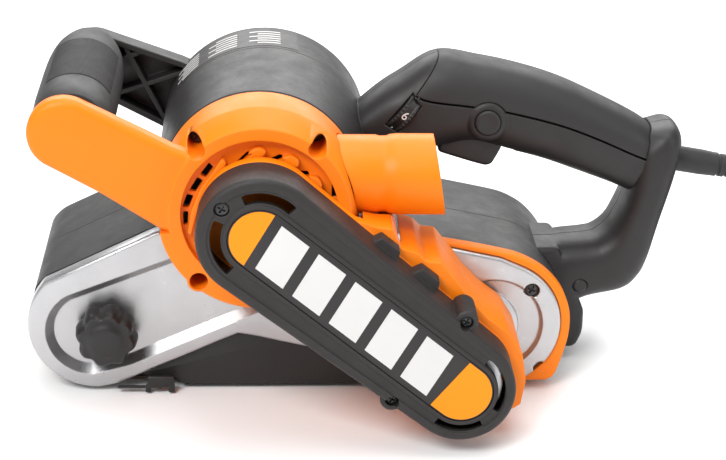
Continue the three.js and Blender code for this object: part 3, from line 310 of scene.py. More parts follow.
def drive_capsule(upper, lower, steps=40):
    return capsule(MOTOR_X, MOTOR_Z, upper, JACK_X, JACK_Z, lower, steps)


def stadium(radius):
    return capsule(-AXLE_X, AXLE_Z, radius, AXLE_X, AXLE_Z, radius, 64)


def sector(x, z, inner, outer, start, end, steps=20):
    return arc(x, z, outer, start, end, steps) + arc(x, z, inner, end, start, steps)


def rounded_outline(points, radius, steps=4):
    """The outline with its corners rounded."""
    made = []
    count = len(points)
    for i in range(count):
        before = Vector(points[i - 1])
        corner = Vector(points[i])
        after = Vector(points[(i + 1) % count])
        reach = min(radius, (before - corner).length / 2.2, (after - corner).length / 2.2)
        start = corner + (before - corner).normalized() * reach
        end = corner + (after - corner).normalized() * reach
        for k in range(steps + 1):
            t = k / steps
            point = start * (1 - t) ** 2 + corner * 2 * t * (1 - t) + end * t**2
            made.append((point.x, point.y))
    return made


def smooth_row(rows, steps):
    """Catmull-Rom rows between the given rows of numbers."""
    data = np.array(rows, float)
    padded = np.vstack([2 * data[0] - data[1], data, 2 * data[-1] - data[-2]])
    made = []
    for i in range(1, len(padded) - 2):
        a, b, c, d = padded[i - 1 : i + 3]
        for k in range(steps):
            t = k / steps
            square = (2 * a - 5 * b + 4 * c - d) * t**2
            cube = (3 * b - a - 3 * c + d) * t**3
            made.append(0.5 * (2 * b + (c - a) * t + square + cube))
    made.append(data[-1])
    return made


def tube(vertices, sides):
    """A closed tube from rings of vertices, with both of its ends capped."""
    last = len(vertices) - sides
    faces = [list(range(sides)), list(range(last, len(vertices)))]
    for start in range(0, last, sides):
        for i in range(sides):
            a = start + i
            b = start + (i + 1) % sides
            faces.append((a, b, b + sides, a + sides))
    return outward(mesh_object("tube", vertices, faces))


def blended_bar(stations, inset=0.0, sides=64, fullness=2.6, steps=6):
    """A bar with a superellipse section, through stations of outer and inner point and half width."""
    vertices = []
    power = 2 / fullness
    for outer_x, outer_z, inner_x, inner_z, half_width in smooth_row(stations, steps):
        half_height = math.hypot(outer_x - inner_x, outer_z - inner_z) / 2
        shrink = (half_height - inset) / half_height
        for i in range(sides):
            angle = 2 * math.pi * i / sides
            across = math.cos(angle)
            sideways = math.sin(angle)
            up = math.copysign(abs(across) ** power, across) * shrink
            out = math.copysign(abs(sideways) ** power, sideways) * (half_width - inset)
            x = (outer_x + inner_x) / 2 + (outer_x - inner_x) / 2 * up
            z = (outer_z + inner_z) / 2 + (outer_z - inner_z) / 2 * up
            vertices.append((x, out, z))
    return tube(vertices, sides)


# ---- materials ----
def new_material(name):
    material = bpy.data.materials.new(name)
    material.use_nodes = True
    tree = material.node_tree
    shader = tree.nodes["Principled BSDF"]
    return material, tree, shader


def value_range(tree, source, low, high, new_low, new_high):
    node = tree.nodes.new("ShaderNodeMapRange")
    node.inputs["From Min"].default_value = low
    node.inputs["From Max"].default_value = high
    node.inputs["To Min"].default_value = new_low
    node.inputs["To Max"].default_value = new_high
    tree.links.new(source, node.inputs["Value"])
    return node.outputs["Result"]


def noise(tree, scale, detail=3.0, roughness=0.5, stretch=None):
    place = tree.nodes.new("ShaderNodeTexCoord").outputs["Object"]
    if stretch:
        mapping = tree.nodes.new("ShaderNodeMapping")
        mapping.inputs["Scale"].default_value = stretch
        tree.links.new(place, mapping.inputs["Vector"])
        place = mapping.outputs["Vector"]
    node = tree.nodes.new("ShaderNodeTexNoise")
    node.inputs["Scale"].default_value = scale
    node.inputs["Detail"].default_value = detail
    node.inputs["Roughness"].default_value = roughness
    tree.links.new(place, node.inputs["Vector"])
    return node.outputs["Fac"]


def mixed(tree, factor, first, second):
    """A colour between two colours, each given as numbers or as a socket."""
    node = tree.nodes.new("ShaderNodeMix")
    node.data_type = "RGBA"
    tree.links.new(factor, node.inputs["Factor"])
    for socket, colour in ((node.inputs[6], first), (node.inputs[7], second)):
        if isinstance(colour, tuple):
            socket.default_value = (*colour, 1.0)
        else:
            tree.links.new(colour, socket)
    return node.outputs[2]


def edge_highlight_and_normal(tree, rounding):
    """High on edges that a soft bevel would turn, for the painted highlight along rims; also the softened
    normal.
    """
    bevel = tree.nodes.new("ShaderNodeBevel")
    bevel.samples = 4
    bevel.inputs["Radius"].default_value = rounding * MM
    geometry = tree.nodes.new("ShaderNodeNewGeometry")
    dot = tree.nodes.new("ShaderNodeVectorMath")
    dot.operation = "DOT_PRODUCT"
    tree.links.new(bevel.outputs["Normal"], dot.inputs[0])
    tree.links.new(geometry.outputs["Normal"], dot.inputs[1])
    highlight_weight = value_range(tree, dot.outputs["Value"], 0.995, 0.86, 0.0, 1.0)
    return highlight_weight, bevel.outputs["Normal"]


def add_bump(tree, shader, height, strength, distance, normal=None):
    node = tree.nodes.new("ShaderNodeBump")
    node.inputs["Strength"].default_value = strength
    node.inputs["Distance"].default_value = distance
    tree.links.new(height, node.inputs["Height"])
    if normal:
        tree.links.new(normal, node.inputs["Normal"])
    tree.links.new(node.outputs["Normal"], shader.inputs["Normal"])


GLOSS_CHANGE = 0.08


def surface(
    name, colour, roughness, grain, bump, mottle, rounding, metallic=0.0, edge_highlight_colour=None,
    edge_highlight_amount=0.4, stretch=None, specular=0.5,
):
    """A moulded or machined surface: fine grain, slow colour and gloss changes, and a painted highlight of
    lighter colour along its edges.
    """
    material, tree, shader = new_material(name)
    links = tree.links
    darker = tuple(c * (1 - mottle) for c in colour)
    slow = value_range(tree, noise(tree, 38.0, 4.0, 0.6), 0.3, 0.7, 0.0, 1.0)
    base = mixed(tree, slow, darker, colour)
    fine = noise(tree, grain, 4.0, 0.65, stretch)
    speck = value_range(tree, fine, 0.35, 0.75, 0.0, mottle * 1.6)
    base = mixed(tree, speck, base, tuple(c * 0.72 for c in colour))
    highlight_weight, soft_normal = edge_highlight_and_normal(tree, rounding)
    # painted highlight: edges get a lighter colour (the given edge colour, else a lighter tint of the base)
    # where light would catch the rounded rims
    rim = value_range(tree, highlight_weight, 0.0, 1.0, 0.0, edge_highlight_amount)
    painted_highlight_colour = edge_highlight_colour or tuple(min(1.0, c * 1.5 + 0.02) for c in colour)
    links.new(mixed(tree, rim, base, painted_highlight_colour), shader.inputs["Base Color"])
    smudge = value_range(
        tree, noise(tree, 90.0, 5.0, 0.7), 0.3, 0.7, roughness - GLOSS_CHANGE, roughness + GLOSS_CHANGE
    )
    links.new(smudge, shader.inputs["Roughness"])
    add_bump(tree, shader, fine, bump, 0.0004, soft_normal)
    shader.inputs["Metallic"].default_value = metallic
    shader.inputs["Specular IOR Level"].default_value = specular
    return material


def abrasive_material():
    """Brown grit on cloth: packed grains with dark gaps."""
    material, tree, shader = new_material("abrasive_grit")
    links = tree.links
    cells = tree.nodes.new("ShaderNodeTexVoronoi")
    cells.inputs["Scale"].default_value = 1500.0
    place = tree.nodes.new("ShaderNodeTexCoord").outputs["Object"]
    links.new(place, cells.inputs["Vector"])
    grain = value_range(tree, cells.outputs["Distance"], 0.0, 0.7, 1.0, 0.0)
    base = mixed(tree, grain, (0.035, 0.018, 0.012), (0.2, 0.1, 0.06))
    worn = value_range(tree, noise(tree, 60.0, 5.0, 0.7), 0.42, 0.68, 0.0, 0.45)
    base = mixed(tree, worn, base, (0.28, 0.17, 0.11))
    links.new(base, shader.inputs["Base Color"])
    shader.inputs["Roughness"].default_value = 0.88
    add_bump(tree, shader, grain, 0.7, 0.0003)
    return material


# Edge colours here are painted highlights: lighter tones laid along edges where light catches rounded rims.
DARK_EDGE_HIGHLIGHT = {"edge_highlight_colour": (0.07, 0.065, 0.065), "edge_highlight_amount": 0.35, "specular": 0.4}

# Each look: the record's slot, then the material's name, colour, roughness, grain, bump, mottle
# and the radius in mm of its softened edges, then what else it sets.
LOOKS = {
    "orange": (
        "orange_plastic", ("orange_plastic", (0.86, 0.195, 0.002), 0.44, 1800.0, 0.06, 0.05, 0.9),
        {"edge_highlight_colour": (0.95, 0.30, 0.05), "edge_highlight_amount": 0.35, "specular": 0.28},
    ),
    "black": (
        "black_plastic", ("black_plastic", (0.017, 0.0155, 0.0155), 0.48, 1600.0, 0.16, 0.14, 0.8),
        DARK_EDGE_HIGHLIGHT,
    ),
    "cover": (
        "black_plastic", ("cover_plastic", (0.02, 0.017, 0.0165), 0.55, 1100.0, 0.3, 0.16, 0.8),
        DARK_EDGE_HIGHLIGHT,
    ),
    "rubber": (
        "soft_rubber", ("soft_rubber", (0.02, 0.019, 0.0195), 0.55, 2400.0, 0.12, 0.1, 0.8),
        {"edge_highlight_colour": (0.06, 0.056, 0.056), "edge_highlight_amount": 0.25, "specular": 0.4},
    ),
    "knob": (
        "black_plastic", ("knob_plastic", (0.012, 0.011, 0.011), 0.42, 1500.0, 0.2, 0.15, 0.9),
        {"edge_highlight_colour": (0.07, 0.065, 0.065), "edge_highlight_amount": 0.4, "specular": 0.45},
    ),
    "film": (
        "panel_film", ("label_film", (0.022, 0.02, 0.02), 0.42, 3000.0, 0.03, 0.08, 0.1),
        {"specular": 0.35},
    ),
    "pale": (
        "panel_film", ("pale_print", (0.60, 0.59, 0.58), 0.45, 2400.0, 0.05, 0.05, 0.05), {}
    ),
    "orange_print": (
        "panel_film", ("orange_print", (0.84, 0.25, 0.002), 0.45, 2400.0, 0.04, 0.05, 0.05),
        {"specular": 0.25},
    ),
    "aluminium": (
        "aluminium", ("cast_aluminium", (0.50, 0.50, 0.51), 0.33, 900.0, 0.1, 0.07, 0.9),
        {"metallic": 0.92, "edge_highlight_colour": (0.85, 0.85, 0.86), "edge_highlight_amount": 0.6},
    ),
    "steel": (
        "steel", ("machined_steel", (0.56, 0.56, 0.57), 0.3, 500.0, 0.05, 0.12, 0.4),
        {"metallic": 1.0, "stretch": (6.0, 0.4, 6.0)},
    ),
    "dark_steel": (
        "dark_steel", ("dark_steel", (0.06, 0.06, 0.062), 0.4, 1200.0, 0.08, 0.2, 0.3),
        {"metallic": 0.7, "edge_highlight_colour": (0.3, 0.3, 0.31)},
    ),
    "copper": (
        "copper", ("copper", (0.72, 0.35, 0.19), 0.32, 900.0, 0.05, 0.2, 0.3), {"metallic": 1.0}
    ),
    "graphite": ("graphite", ("graphite", (0.035, 0.035, 0.038), 0.6, 900.0, 0.2, 0.2, 0.3), {}),
    "cloth": ("abrasive", ("belt_cloth", (0.17, 0.12, 0.085), 0.8, 1700.0, 0.5, 0.25, 0.1), {}),
}
MATERIALS = {}


def make_materials():
    for look, (_, settings, more) in LOOKS.items():
        MATERIALS[look] = surface(*settings, **more)
    MATERIALS["abrasive"] = abrasive_material()


CAD_LOOKS = {
    "steel": """idler_axle idler_bearing_1 idler_bearing_2 tension_spring release_lever platen_plate
        drive_axle drive_gear drive_axle_bearing jack_shaft jack_bearing armature
        motor_bearing_front motor_bearing_rear""",
    "aluminium": "frame_plate inner_frame idler_roller driven_pulley motor_pulley",
    "dark_steel": """tension_yoke plate_screw stator cover_screw_1 cover_screw_2 cover_screw_3
        housing_screw_1 housing_screw_2 housing_screw_3""",
    "copper": "commutator brush_holder_upper brush_holder_lower",
    "graphite": "platen_pad brush_upper brush_lower",
    "orange": "fan_housing drive_housing dust_outlet side_trim",
    "rubber": "drive_roller toothed_belt rear_grip front_grip cord_sleeve power_cord cord_coil",
    "black": """side_skirt platen_clip tracking_knob cooling_fan drive_cover left_shell right_shell
        trigger lock_button speed_dial switch_module front_grip_core cord_plug""",
    "film": "cover_panel",
    "abrasive": "sanding_belt",
}


def dress_cad():
    """Gives every CAD node its material and smooth shading over shallow angles."""
    for look, names in CAD_LOOKS.items():
        for name in names.split():
            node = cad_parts[name]
            node.data.materials.clear()
            node.data.materials.append(MATERIALS[look])
            node.data.polygons.foreach_set("use_smooth", [True] * len(node.data.polygons))
            node.data.set_sharp_from_angle(angle=math.radians(32))


def piece(obj, name, look, body="frame", nodes=(), angle=32.0):
    """Names a finished piece, gives it its material and lets it ride on its CAD body."""
    obj.name = name
    obj.data.name = name
    obj.data.materials.clear()
    obj.data.materials.append(MATERIALS[look])
    count = len(obj.data.polygons)
    obj.data.polygons.foreach_set("material_index", [0] * count)
    obj.data.polygons.foreach_set("use_smooth", [True] * count)
    obj.data.set_sharp_from_angle(angle=math.radians(angle))
    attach(obj, body)
    if nodes:
        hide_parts(*nodes)
    return obj


# ---- cord, its sleeve and its plug ----
CORD_EXIT_X = 182.0
CORD_EXIT_Z = 93.6
CORD_SLOPE = math.radians(9.4)
SLEEVE_START = 168.0
SLEEVE_END = 211.0
PITCH = 2 * CORD_RADIUS + 0.05
CORD_LOW = CORD_RADIUS + 0.1
PLUG_X = COIL_X + COIL_RADIUS + 2 * CORD_RADIUS
PLUG_Y = COIL_Y - 34.0
PLUG_Z = 18.1
POINTS_PER_TURN = 96


def sleeve_z(x):
    return CORD_EXIT_Z - (x - CORD_EXIT_X) * math.tan(CORD_SLOPE)


def along_cord(obj, x):
    """Turns a body from the Y axis onto the cord's line out of the handle, and starts it at x."""
    spun(spun(obj, -math.pi / 2, "Z"), CORD_SLOPE, "Y")
    return moved(obj, x, 0, sleeve_z(x))


def ease(t):
    return t * t * (3 - 2 * t)


# The cord leaves the sleeve, bends down and reaches the floor beside the coil.
CORD_ROUTE = [
    (SLEEVE_END + 0.9, 0, sleeve_z(SLEEVE_END + 0.9)), (217, 0, 87.4), (224, 0, 84.6),
    (230.5, 0, 79.8), (235.6, 0.2, 73.4), (239, 0.5, 65.6), (240.6, 1, 57), (241, 2, 48),
    (241.1, 4, 39), (241.3, 7.6, 30), (241.6, 13.4, 21), (241.8, 21, 13), (242, 30, 7),
    (241.2, 40.4, CORD_LOW), (239.2, 51, CORD_LOW),
]

# Each turn of the coil: its column from the middle, its layer, and where in the turn it moves on.
COIL_TURNS = [
    (2, 0, 0.875), (1, 0, 0.875), (0, 0, 0.75), (0, 1, 0.625), (1, 1, 0.625), (2, 1, 0.5),
    (2, 2, 0.375), (1, 2, 0.375), (0, 2, 0.25), (0, 3, 0.125), (1, 3, 0.125), (2, 3, 0.0),
]
MOVE_SHARE = 0.125


def coil_points():
    """The coil's turns, clockwise from above, each moving to the next place in its own sector."""
    outer = COIL_RADIUS + 2 * CORD_RADIUS
    start = math.radians(193.1)
    places = [
        (outer - (2 - column) * PITCH, CORD_LOW + layer * PITCH) for column, layer, _ in COIL_TURNS
    ]
    points = []
    for turn, (_, _, move_at) in enumerate(COIL_TURNS):
        radius, height = places[turn]
        last = turn == len(COIL_TURNS) - 1
        next_radius, next_height = places[turn] if last else places[turn + 1]
        for k in range(POINTS_PER_TURN):
            part = k / POINTS_PER_TURN
            angle = start - 2 * math.pi * part
            if last and angle < 0.02:
                break
            t = min(max((part - move_at) / MOVE_SHARE, 0.0), 1.0)
            r = radius + (next_radius - radius) * ease(t)
            z = height + (next_height - height) * ease(t)
            points.append((COIL_X + r * math.cos(angle), COIL_Y + r * math.sin(angle), z))
    return points


def cord_points():
    route = [tuple(row) for row in smooth_row(CORD_ROUTE, 6)]
    coil = coil_points()
    top = coil[-1][2]
    fall = []
    steps = 12
    for k in range(steps):
        t = (k + 1) / steps
        y = COIL_Y + (PLUG_Y - COIL_Y) * t
        fall.append((PLUG_X, y, top + (PLUG_Z - top) * ease(t)))
    return route + coil + fall


def make_cord():
    points = [Vector(p) * MM for p in cord_points()]
    curve = bpy.data.curves.new("mains_cord", "CURVE")
    curve.dimensions = "3D"
    curve.bevel_depth = CORD_RADIUS * MM
    curve.bevel_resolution = 6
    curve.use_fill_caps = True
    spline = curve.splines.new("POLY")
    spline.points.add(len(points) - 1)
    for place, point in zip(spline.points, points):
        place.co = (*point, 1.0)
    cord = link(bpy.data.objects.new("mains_cord", curve))
    length = sum((b - a).length for a, b in zip(points, points[1:]))
    return cord, length, points[0]


def make_plug():
    """A round two-pin plug with grip grooves, which lies on its side beside the coil."""
    body = turned(0, 0, [
        (0, 0), (4.0, 0), (4.4, 0.5), (4.6, 3), (3.9, 3.4), (3.9, 4.6), (4.8, 5), (4.9, 8), (4.2, 8.4),
        (4.2, 9.6), (5.1, 10), (5.3, 13), (4.6, 13.4), (4.6, 14.6), (5.6, 15), (6.4, 17), (8.2, 19.4),
        (11, 22), (12.4, 27), (13.5, 34), (15.2, 39.5), (17.6, 43.2), (18, 44.2), (18, 49.3),
        (17.4, 50), (0, 50),
    ], 72)
    flats = [box(-16, 16, 24, 36, side * 14.5 - 3, side * 14.5 + 3) for side in (-1, 1)]
    body = cut(body, *flats)
    rows = [
        box(-7, 7, 23 + 2.4 * i, 24.1 + 2.4 * i, side * 10.8 - 0.9, side * 10.8 + 0.9, 0.25)
        for i in range(5) for side in (-1, 1)
    ]
    body = merged(body, *rows)
    moved(spun(body, math.pi, "Z"), PLUG_X, PLUG_Y, PLUG_Z)
    root = PLUG_Y - 49
    tip = PLUG_Y - 69
    pin_profile = [(0, root), (2.4, root), (2.4, tip + 1.2), (1.6, tip), (0, tip)]
    pins = merged(*[turned(PLUG_X + side * 9.5, PLUG_Z, pin_profile, 32) for side in (-1, 1)])
    piece(body, "plug_body", "rubber", nodes=["cord_plug"])
    piece(pins, "plug_pins", "steel")
    return [body, pins]


def make_sleeve():
    """The bend protector: a tapered sleeve with ring grooves."""
    length = (SLEEVE_END - SLEEVE_START) / math.cos(CORD_SLOPE)
    profile = [(0, 0), (5.9, 0), (5.9, 20), (5.7, 24)]
    for i in range(4):
        y = 25.4 + i * 3.7
        outer = 5.6 - i * 0.25
        profile += [(outer, y), (outer, y + 2.2), (outer - 0.9, y + 2.5), (outer - 0.9, y + 3.4)]
    profile += [(4.5, length - 2.6), (4.5, length - 0.5), (4.1, length), (0, length)]
    sleeve = turned(0, 0, profile, 56)
    piece(along_cord(sleeve, SLEEVE_START), "bend_sleeve", "rubber", nodes=["cord_sleeve"], angle=50)


def dress_cord():
    cord, length, start = CORD
    cord.data.materials.append(MATERIALS["rubber"])
    plug = make_plug()
    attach(cord, "frame")
    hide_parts("power_cord", "cord_coil")
    make_sleeve()


def merged(*objects):
    """One mesh that holds all the given meshes, which may touch."""
    bm = bmesh.new()
    for obj in objects:
        bm.from_mesh(obj.data)
    mesh = bpy.data.meshes.new("merged")
    bm.to_mesh(mesh)
    bm.free()
    first = objects[0]
    first.data = mesh
    for obj in objects[1:]:
        bpy.data.objects.remove(obj)
    return first


# ---- belt and rollers ----
def make_belt():
    """The sanding belt: a layer of grit over a layer of cloth."""
    middle = BELT_INNER + 0.6
    layers = (
        ("belt_grit", "abrasive", BELT_OUTER, middle + 0.02), ("belt_cloth", "cloth", middle, BELT_INNER)
    )
    for name, look, outer, inner in layers:
        loop = cut(prism(stadium(outer), -BELT_HALF, BELT_HALF), prism(stadium(inner), -FAR, FAR))
        piece(loop, name, look, nodes=["sanding_belt"])


def make_rollers():
    """The grooved rubber drive roller and the plain front roller."""
    half = ROLLER_HALF
    drum = turned(AXLE_X, AXLE_Z, [
        (6.3, -half), (25.6, -half), (ROLLER_RADIUS, -half + 1.3), (ROLLER_RADIUS, half - 1.3),
        (25.6, half), (22, half), (21, half - 2.4), (11, half - 2.4), (10, half), (6.3, half), (6.3, -half),
    ], 96)
    grooves = []
    count = 24
    for i in range(count):
        groove = box(-0.8, 0.8, -FAR, FAR, ROLLER_RADIUS - 0.8, ROLLER_RADIUS + 2)
        grooves.append(moved(spun(groove, 2 * math.pi * i / count, "Y"), AXLE_X, 0, AXLE_Z))
    piece(cut(drum, merged(*grooves)), "drive_drum", "rubber", "drive_roller", ["drive_roller"])
    front = turned(-AXLE_X, AXLE_Z, [
        (11.3, -half), (25.4, -half), (26.7, -half + 1.3), (ROLLER_RADIUS, 0), (26.7, half - 1.3),
        (25.4, half), (22, half), (21, half - 3), (14.5, half - 3), (13.5, half), (11.3, half),
        (11.3, -half),
    ], 96)
    piece(front, "front_drum", "aluminium", "idler_roller", ["idler_roller"])


# ---- side plate ----
PLATE_END_X = 88.7
PLATE_END_Z = 32.6
PLATE_END_RADIUS = 30.6


def plate_outline(grow=0.0):
    """The side plate's outline, grown outwards by the given amount."""
    barrel = BARREL_NEAR + 1.6 - grow
    end = PLATE_END_RADIUS + grow
    dip = math.asin((78.6 + grow - MOTOR_Z) / barrel)
    points = arc(-PLATE_END_X, PLATE_END_Z, end, 1.5 * math.pi, 2.4, 40)
    points.append((-61.9 - grow / 2, 77.5 + grow))
    points += arc(MOTOR_X, MOTOR_Z, barrel, math.pi - dip, 2 * math.pi + dip, 40)
    points += [(68.7, 69.8 + grow), (91, 65 + grow)]
    points += arc(PLATE_END_X, PLATE_END_Z, end, 1.2, -math.pi / 2, 40)
    points += [(78, 3.6 - grow), (17.7, 19 - grow), (-7.1, 24.6 - grow)]
    for k in range(1, 8):
        t = k / 8
        first, middle, last = (1 - t) ** 2, 2 * t * (1 - t), t**2
        x = -7.1 * first - 18 * middle - 25.9 * last
        z = 24.6 * first + 27.5 * middle + 28.6 * last
        points.append((x, z - grow))
    points += [(-25.9, 28.6 - grow), (-33.9, 25.1 - grow), (-80, 3.7 - grow)]
    return points


def plate_recesses():
    """The front recess is deep with a sloping wall; the rear one stays clear of the gear's room."""
    front = arc(-91, 29.5, 20.6, 2.12, 4.72, 32)
    under_housing = arc(MOTOR_X, MOTOR_Z, 50.5, -1.4, -2.4, 16)
    corners = [front[-1], (-74.4, 13.3), (-12, 41.4)] + under_housing + [front[0]]
    front += rounded_outline(corners, 2)[5:-5]
    rear = arc(PLATE_END_X, PLATE_END_Z, 22.4, -1.1, 1.9, 32) + [(60, 56), (60, 12)]
    island = arc(PLATE_END_X - 6, PLATE_END_Z - 1, 17.6, -1.3, 2.0, 32) + [(50, 50), (50, 14)]
    dent = prism(rear, PLATE_FACE - 20, PLATE_FACE + 2.3, 0, 1, 1.4)
    raised = prism(island, PLATE_FACE + 0.5, PLATE_FACE + 6, 1.2, 2, 0)
    return [prism(front, PLATE_FACE - 20, PLATE_FACE + 3.9, 0, 1, 3.7), cut(dent, raised)]


def screw(x, z, radius, face, depth, name):
    """A cross-head screw that faces the viewer's side."""
    head = turned(x, z, [
        (0, face - 0.25), (radius * 0.5, face - 0.18), (radius * 0.85, face), (radius, face + 0.35),
        (radius, face + depth), (0, face + depth),
    ], 40)
    arms = []
    for turn in (0.5, 0.5 + math.pi / 2):
        arm = box(-radius * 0.62, radius * 0.62, face - 1, face + 1.3, -radius * 0.16, radius * 0.16)
        arms.append(moved(spun(arm, turn, "Y"), x, 0, z))
    piece(cut(head, *arms), "head_" + name, "dark_steel", nodes=[name])


def make_plate():
    plate = prism(plate_outline(), PLATE_FACE, PLATE_BACK, 1.4, 4)
    plate = cut(
        plate,
        *plate_recesses(),
        bar(AXLE_X, AXLE_Z, 18.8, -47.5, FAR),
        bar(JACK_X, JACK_Z, 8, -47.5, FAR),
        bar(JACK_X, JACK_Z, 6.2, -FAR, FAR),
        bar(KNOB_X, KNOB_Z, 4, -FAR, FAR),
        *[bar(x, z, 3.6, -FAR, -46) for x, z in (PLATE_SCREW, PLATE_HOLE)],
    )
    piece(plate, "plate_face", "aluminium", nodes=["frame_plate"])
    screw(*PLATE_SCREW, 3.2, -48.8, 2.4, "plate_screw")


TRIM_SHAPE = [
    (59, 73.4), (81.4, 69.4), (99.4, 65.3), (110.9, 58.9), (119.1, 50.1), (123.6, 39.3),
    (123.8, 27), (120.6, 14), (117.2, 4), (96, 4), (96, 20), (59, 60),
]
SKIRT_SHAPE = [
    (-70, 7.4), (-53, 5.5), (-52, 2.5), (84, 2.5), (84, 14), (10, 34), (-26, 40), (-40, 34),
]


def make_plate_borders():
    """The orange rim behind the plate's rear end and the black skirt under its arch."""
    trim = prism(rounded_outline(TRIM_SHAPE, 7, 6), PLATE_FACE + 2, PLATE_BACK, 0.8, 3, 0)
    skirt = prism(rounded_outline(SKIRT_SHAPE, 2), PLATE_FACE + 2.4, PLATE_BACK, 0.6, 2, 0)
    trim = cut(trim, prism(plate_outline(GAP), -FAR, FAR))
    skirt = cut(skirt, prism(plate_outline(GAP), -FAR, FAR))
    piece(trim, "orange_trim", "orange", nodes=["side_trim"])
    piece(skirt, "dark_skirt", "black", nodes=["side_skirt"])


def make_clip():
    near = PLATE_FACE - 2.6
    far = PLATE_FACE - GAP
    clip = merged(
        box(-66.5, -54.6, near, far, 3, 8.4, 0.5),
        box(-80, -60, near + 0.4, far, 2.4, 3.4, 0.3),
        box(-67.5, -65, near, far, 0.7, 4, 0.4),
        box(-57.2, -54.4, near, far, 0.7, 4, 0.4),
    )
    piece(clip, "shoe_clip", "black", nodes=["platen_clip"])


def make_knob():
    """The tracking knob: eight soft lobes that taper to a flat round face, on a short neck."""
    lobes = 8
    count = 160
    levels = [
        (PLATE_FACE + 0.4, 0.95), (PLATE_FACE - 0.4, 0.99), (PLATE_FACE - 1.6, 1.0),
        (PLATE_FACE - 7.5, 0.97), (PLATE_FACE - 9.6, 0.93), (PLATE_FACE - 10.9, 0.85),
    ]
    vertices = []
    for y, scale in levels:
        for i in range(count):
            angle = 2 * math.pi * i / count
            wave = math.cos(lobes * (angle + 0.2))
            radius = (13.3 + 0.9 * wave - 0.2 * wave * wave) * scale
            vertices.append((KNOB_X + radius * math.cos(angle), y, KNOB_Z + radius * math.sin(angle)))
    head = tube(vertices, count)
    hub = turned(KNOB_X, KNOB_Z, [
        (0, PLATE_FACE - 12.9), (5.6, PLATE_FACE - 12.9), (6.8, PLATE_FACE - 12.6),
        (7.6, PLATE_FACE - 12.1), (10.6, PLATE_FACE - 10.8), (10.6, PLATE_FACE - 9), (0, PLATE_FACE - 9),
    ], 72)
    neck = turned(KNOB_X, KNOB_Z, [
        (0, PLATE_FACE - 5), (9, PLATE_FACE - 5), (9, PLATE_FACE + 0.9), (0, PLATE_FACE + 0.9),
    ], 48)
    stem = bar(KNOB_X, KNOB_Z, 3.5, PLATE_FACE - 5, -41.7)
    piece(merged(join(head, hub), neck, stem), "lobed_knob", "knob", "tracking_knob", ["tracking_knob"])


# ---- orange housings ----
HOUSING_BOSSES = [(-42.4, 128.7), (7.8, 129.3), (-41.8, 70.3)]
BOSS_RADIUS = 5.2


def near_arm_shape(inset):
    return arc(-96.4, 134.6, 15.6 - inset, 1.15, 4.1, 36) + [
        (-82.1, 108.8 + inset), (-57.7, 92.9 + inset), (-40, 84 + inset), (-34, 122 - inset),
        (-52.5, 129.6 - inset), (-61.5, 134.4 - inset),
    ]


def polar(radius, degrees):
    angle = math.radians(degrees)
    return MOTOR_X + radius * math.cos(angle), MOTOR_Z + radius * math.sin(angle)


# The air slots in the housing's recess and the spiral vanes between them, as (radius, degrees).
FACE_SLOTS = [
    [(22.6, 114), (27.4, 96), (27.2, 101.5), (23.6, 118)],
    [(22.6, 75), (26.4, 66), (27.0, 72), (24.0, 80)],
    [(22.6, 44), (26.4, 37), (27.0, 42.5), (24.2, 49)],
    [(27.2, 146), (27.6, 134), (30.4, 134), (30.0, 146)],
    [(28.2, 162), (27.4, 149.5), (30.2, 149.5), (31.0, 162)],
    [(29.8, 176.5), (28.6, 165.5), (31.4, 165.5), (32.6, 176.5)],
    [(30.8, 191), (30.0, 180), (32.2, 180), (32.7, 191)],
    [(28.4, 206), (31.4, 222), (32.8, 220), (30.4, 204)],
]
FACE_VANES = [
    [(21.8, 97), (27.6, 84), (29.4, 88), (29.4, 95), (26.2, 103), (21.8, 113)],
    [(21.8, 64), (26.6, 53), (29.2, 56), (29.4, 64), (26.4, 71), (21.8, 78)],
    [(21.8, 33), (26.4, 22), (29.2, 26), (29.4, 34), (26.4, 41), (21.8, 48)],
    [(21.8, 140), (26.6, 121), (29.4, 122), (27.0, 136), (27.2, 156), (28.6, 176), (31.6, 196),
     (30.2, 198), (26.6, 182), (23.8, 164)],
    [(24.6, 210), (30.0, 222), (33.4, 224), (33.4, 230), (30.6, 230), (24.6, 224)],
    [(26.6, 236), (32.6, 242), (33.4, 250), (31.2, 251), (26.6, 246)],
]


def around_motor(corners, rounding, steps):
    return rounded_outline([polar(*corner) for corner in corners], rounding, steps)


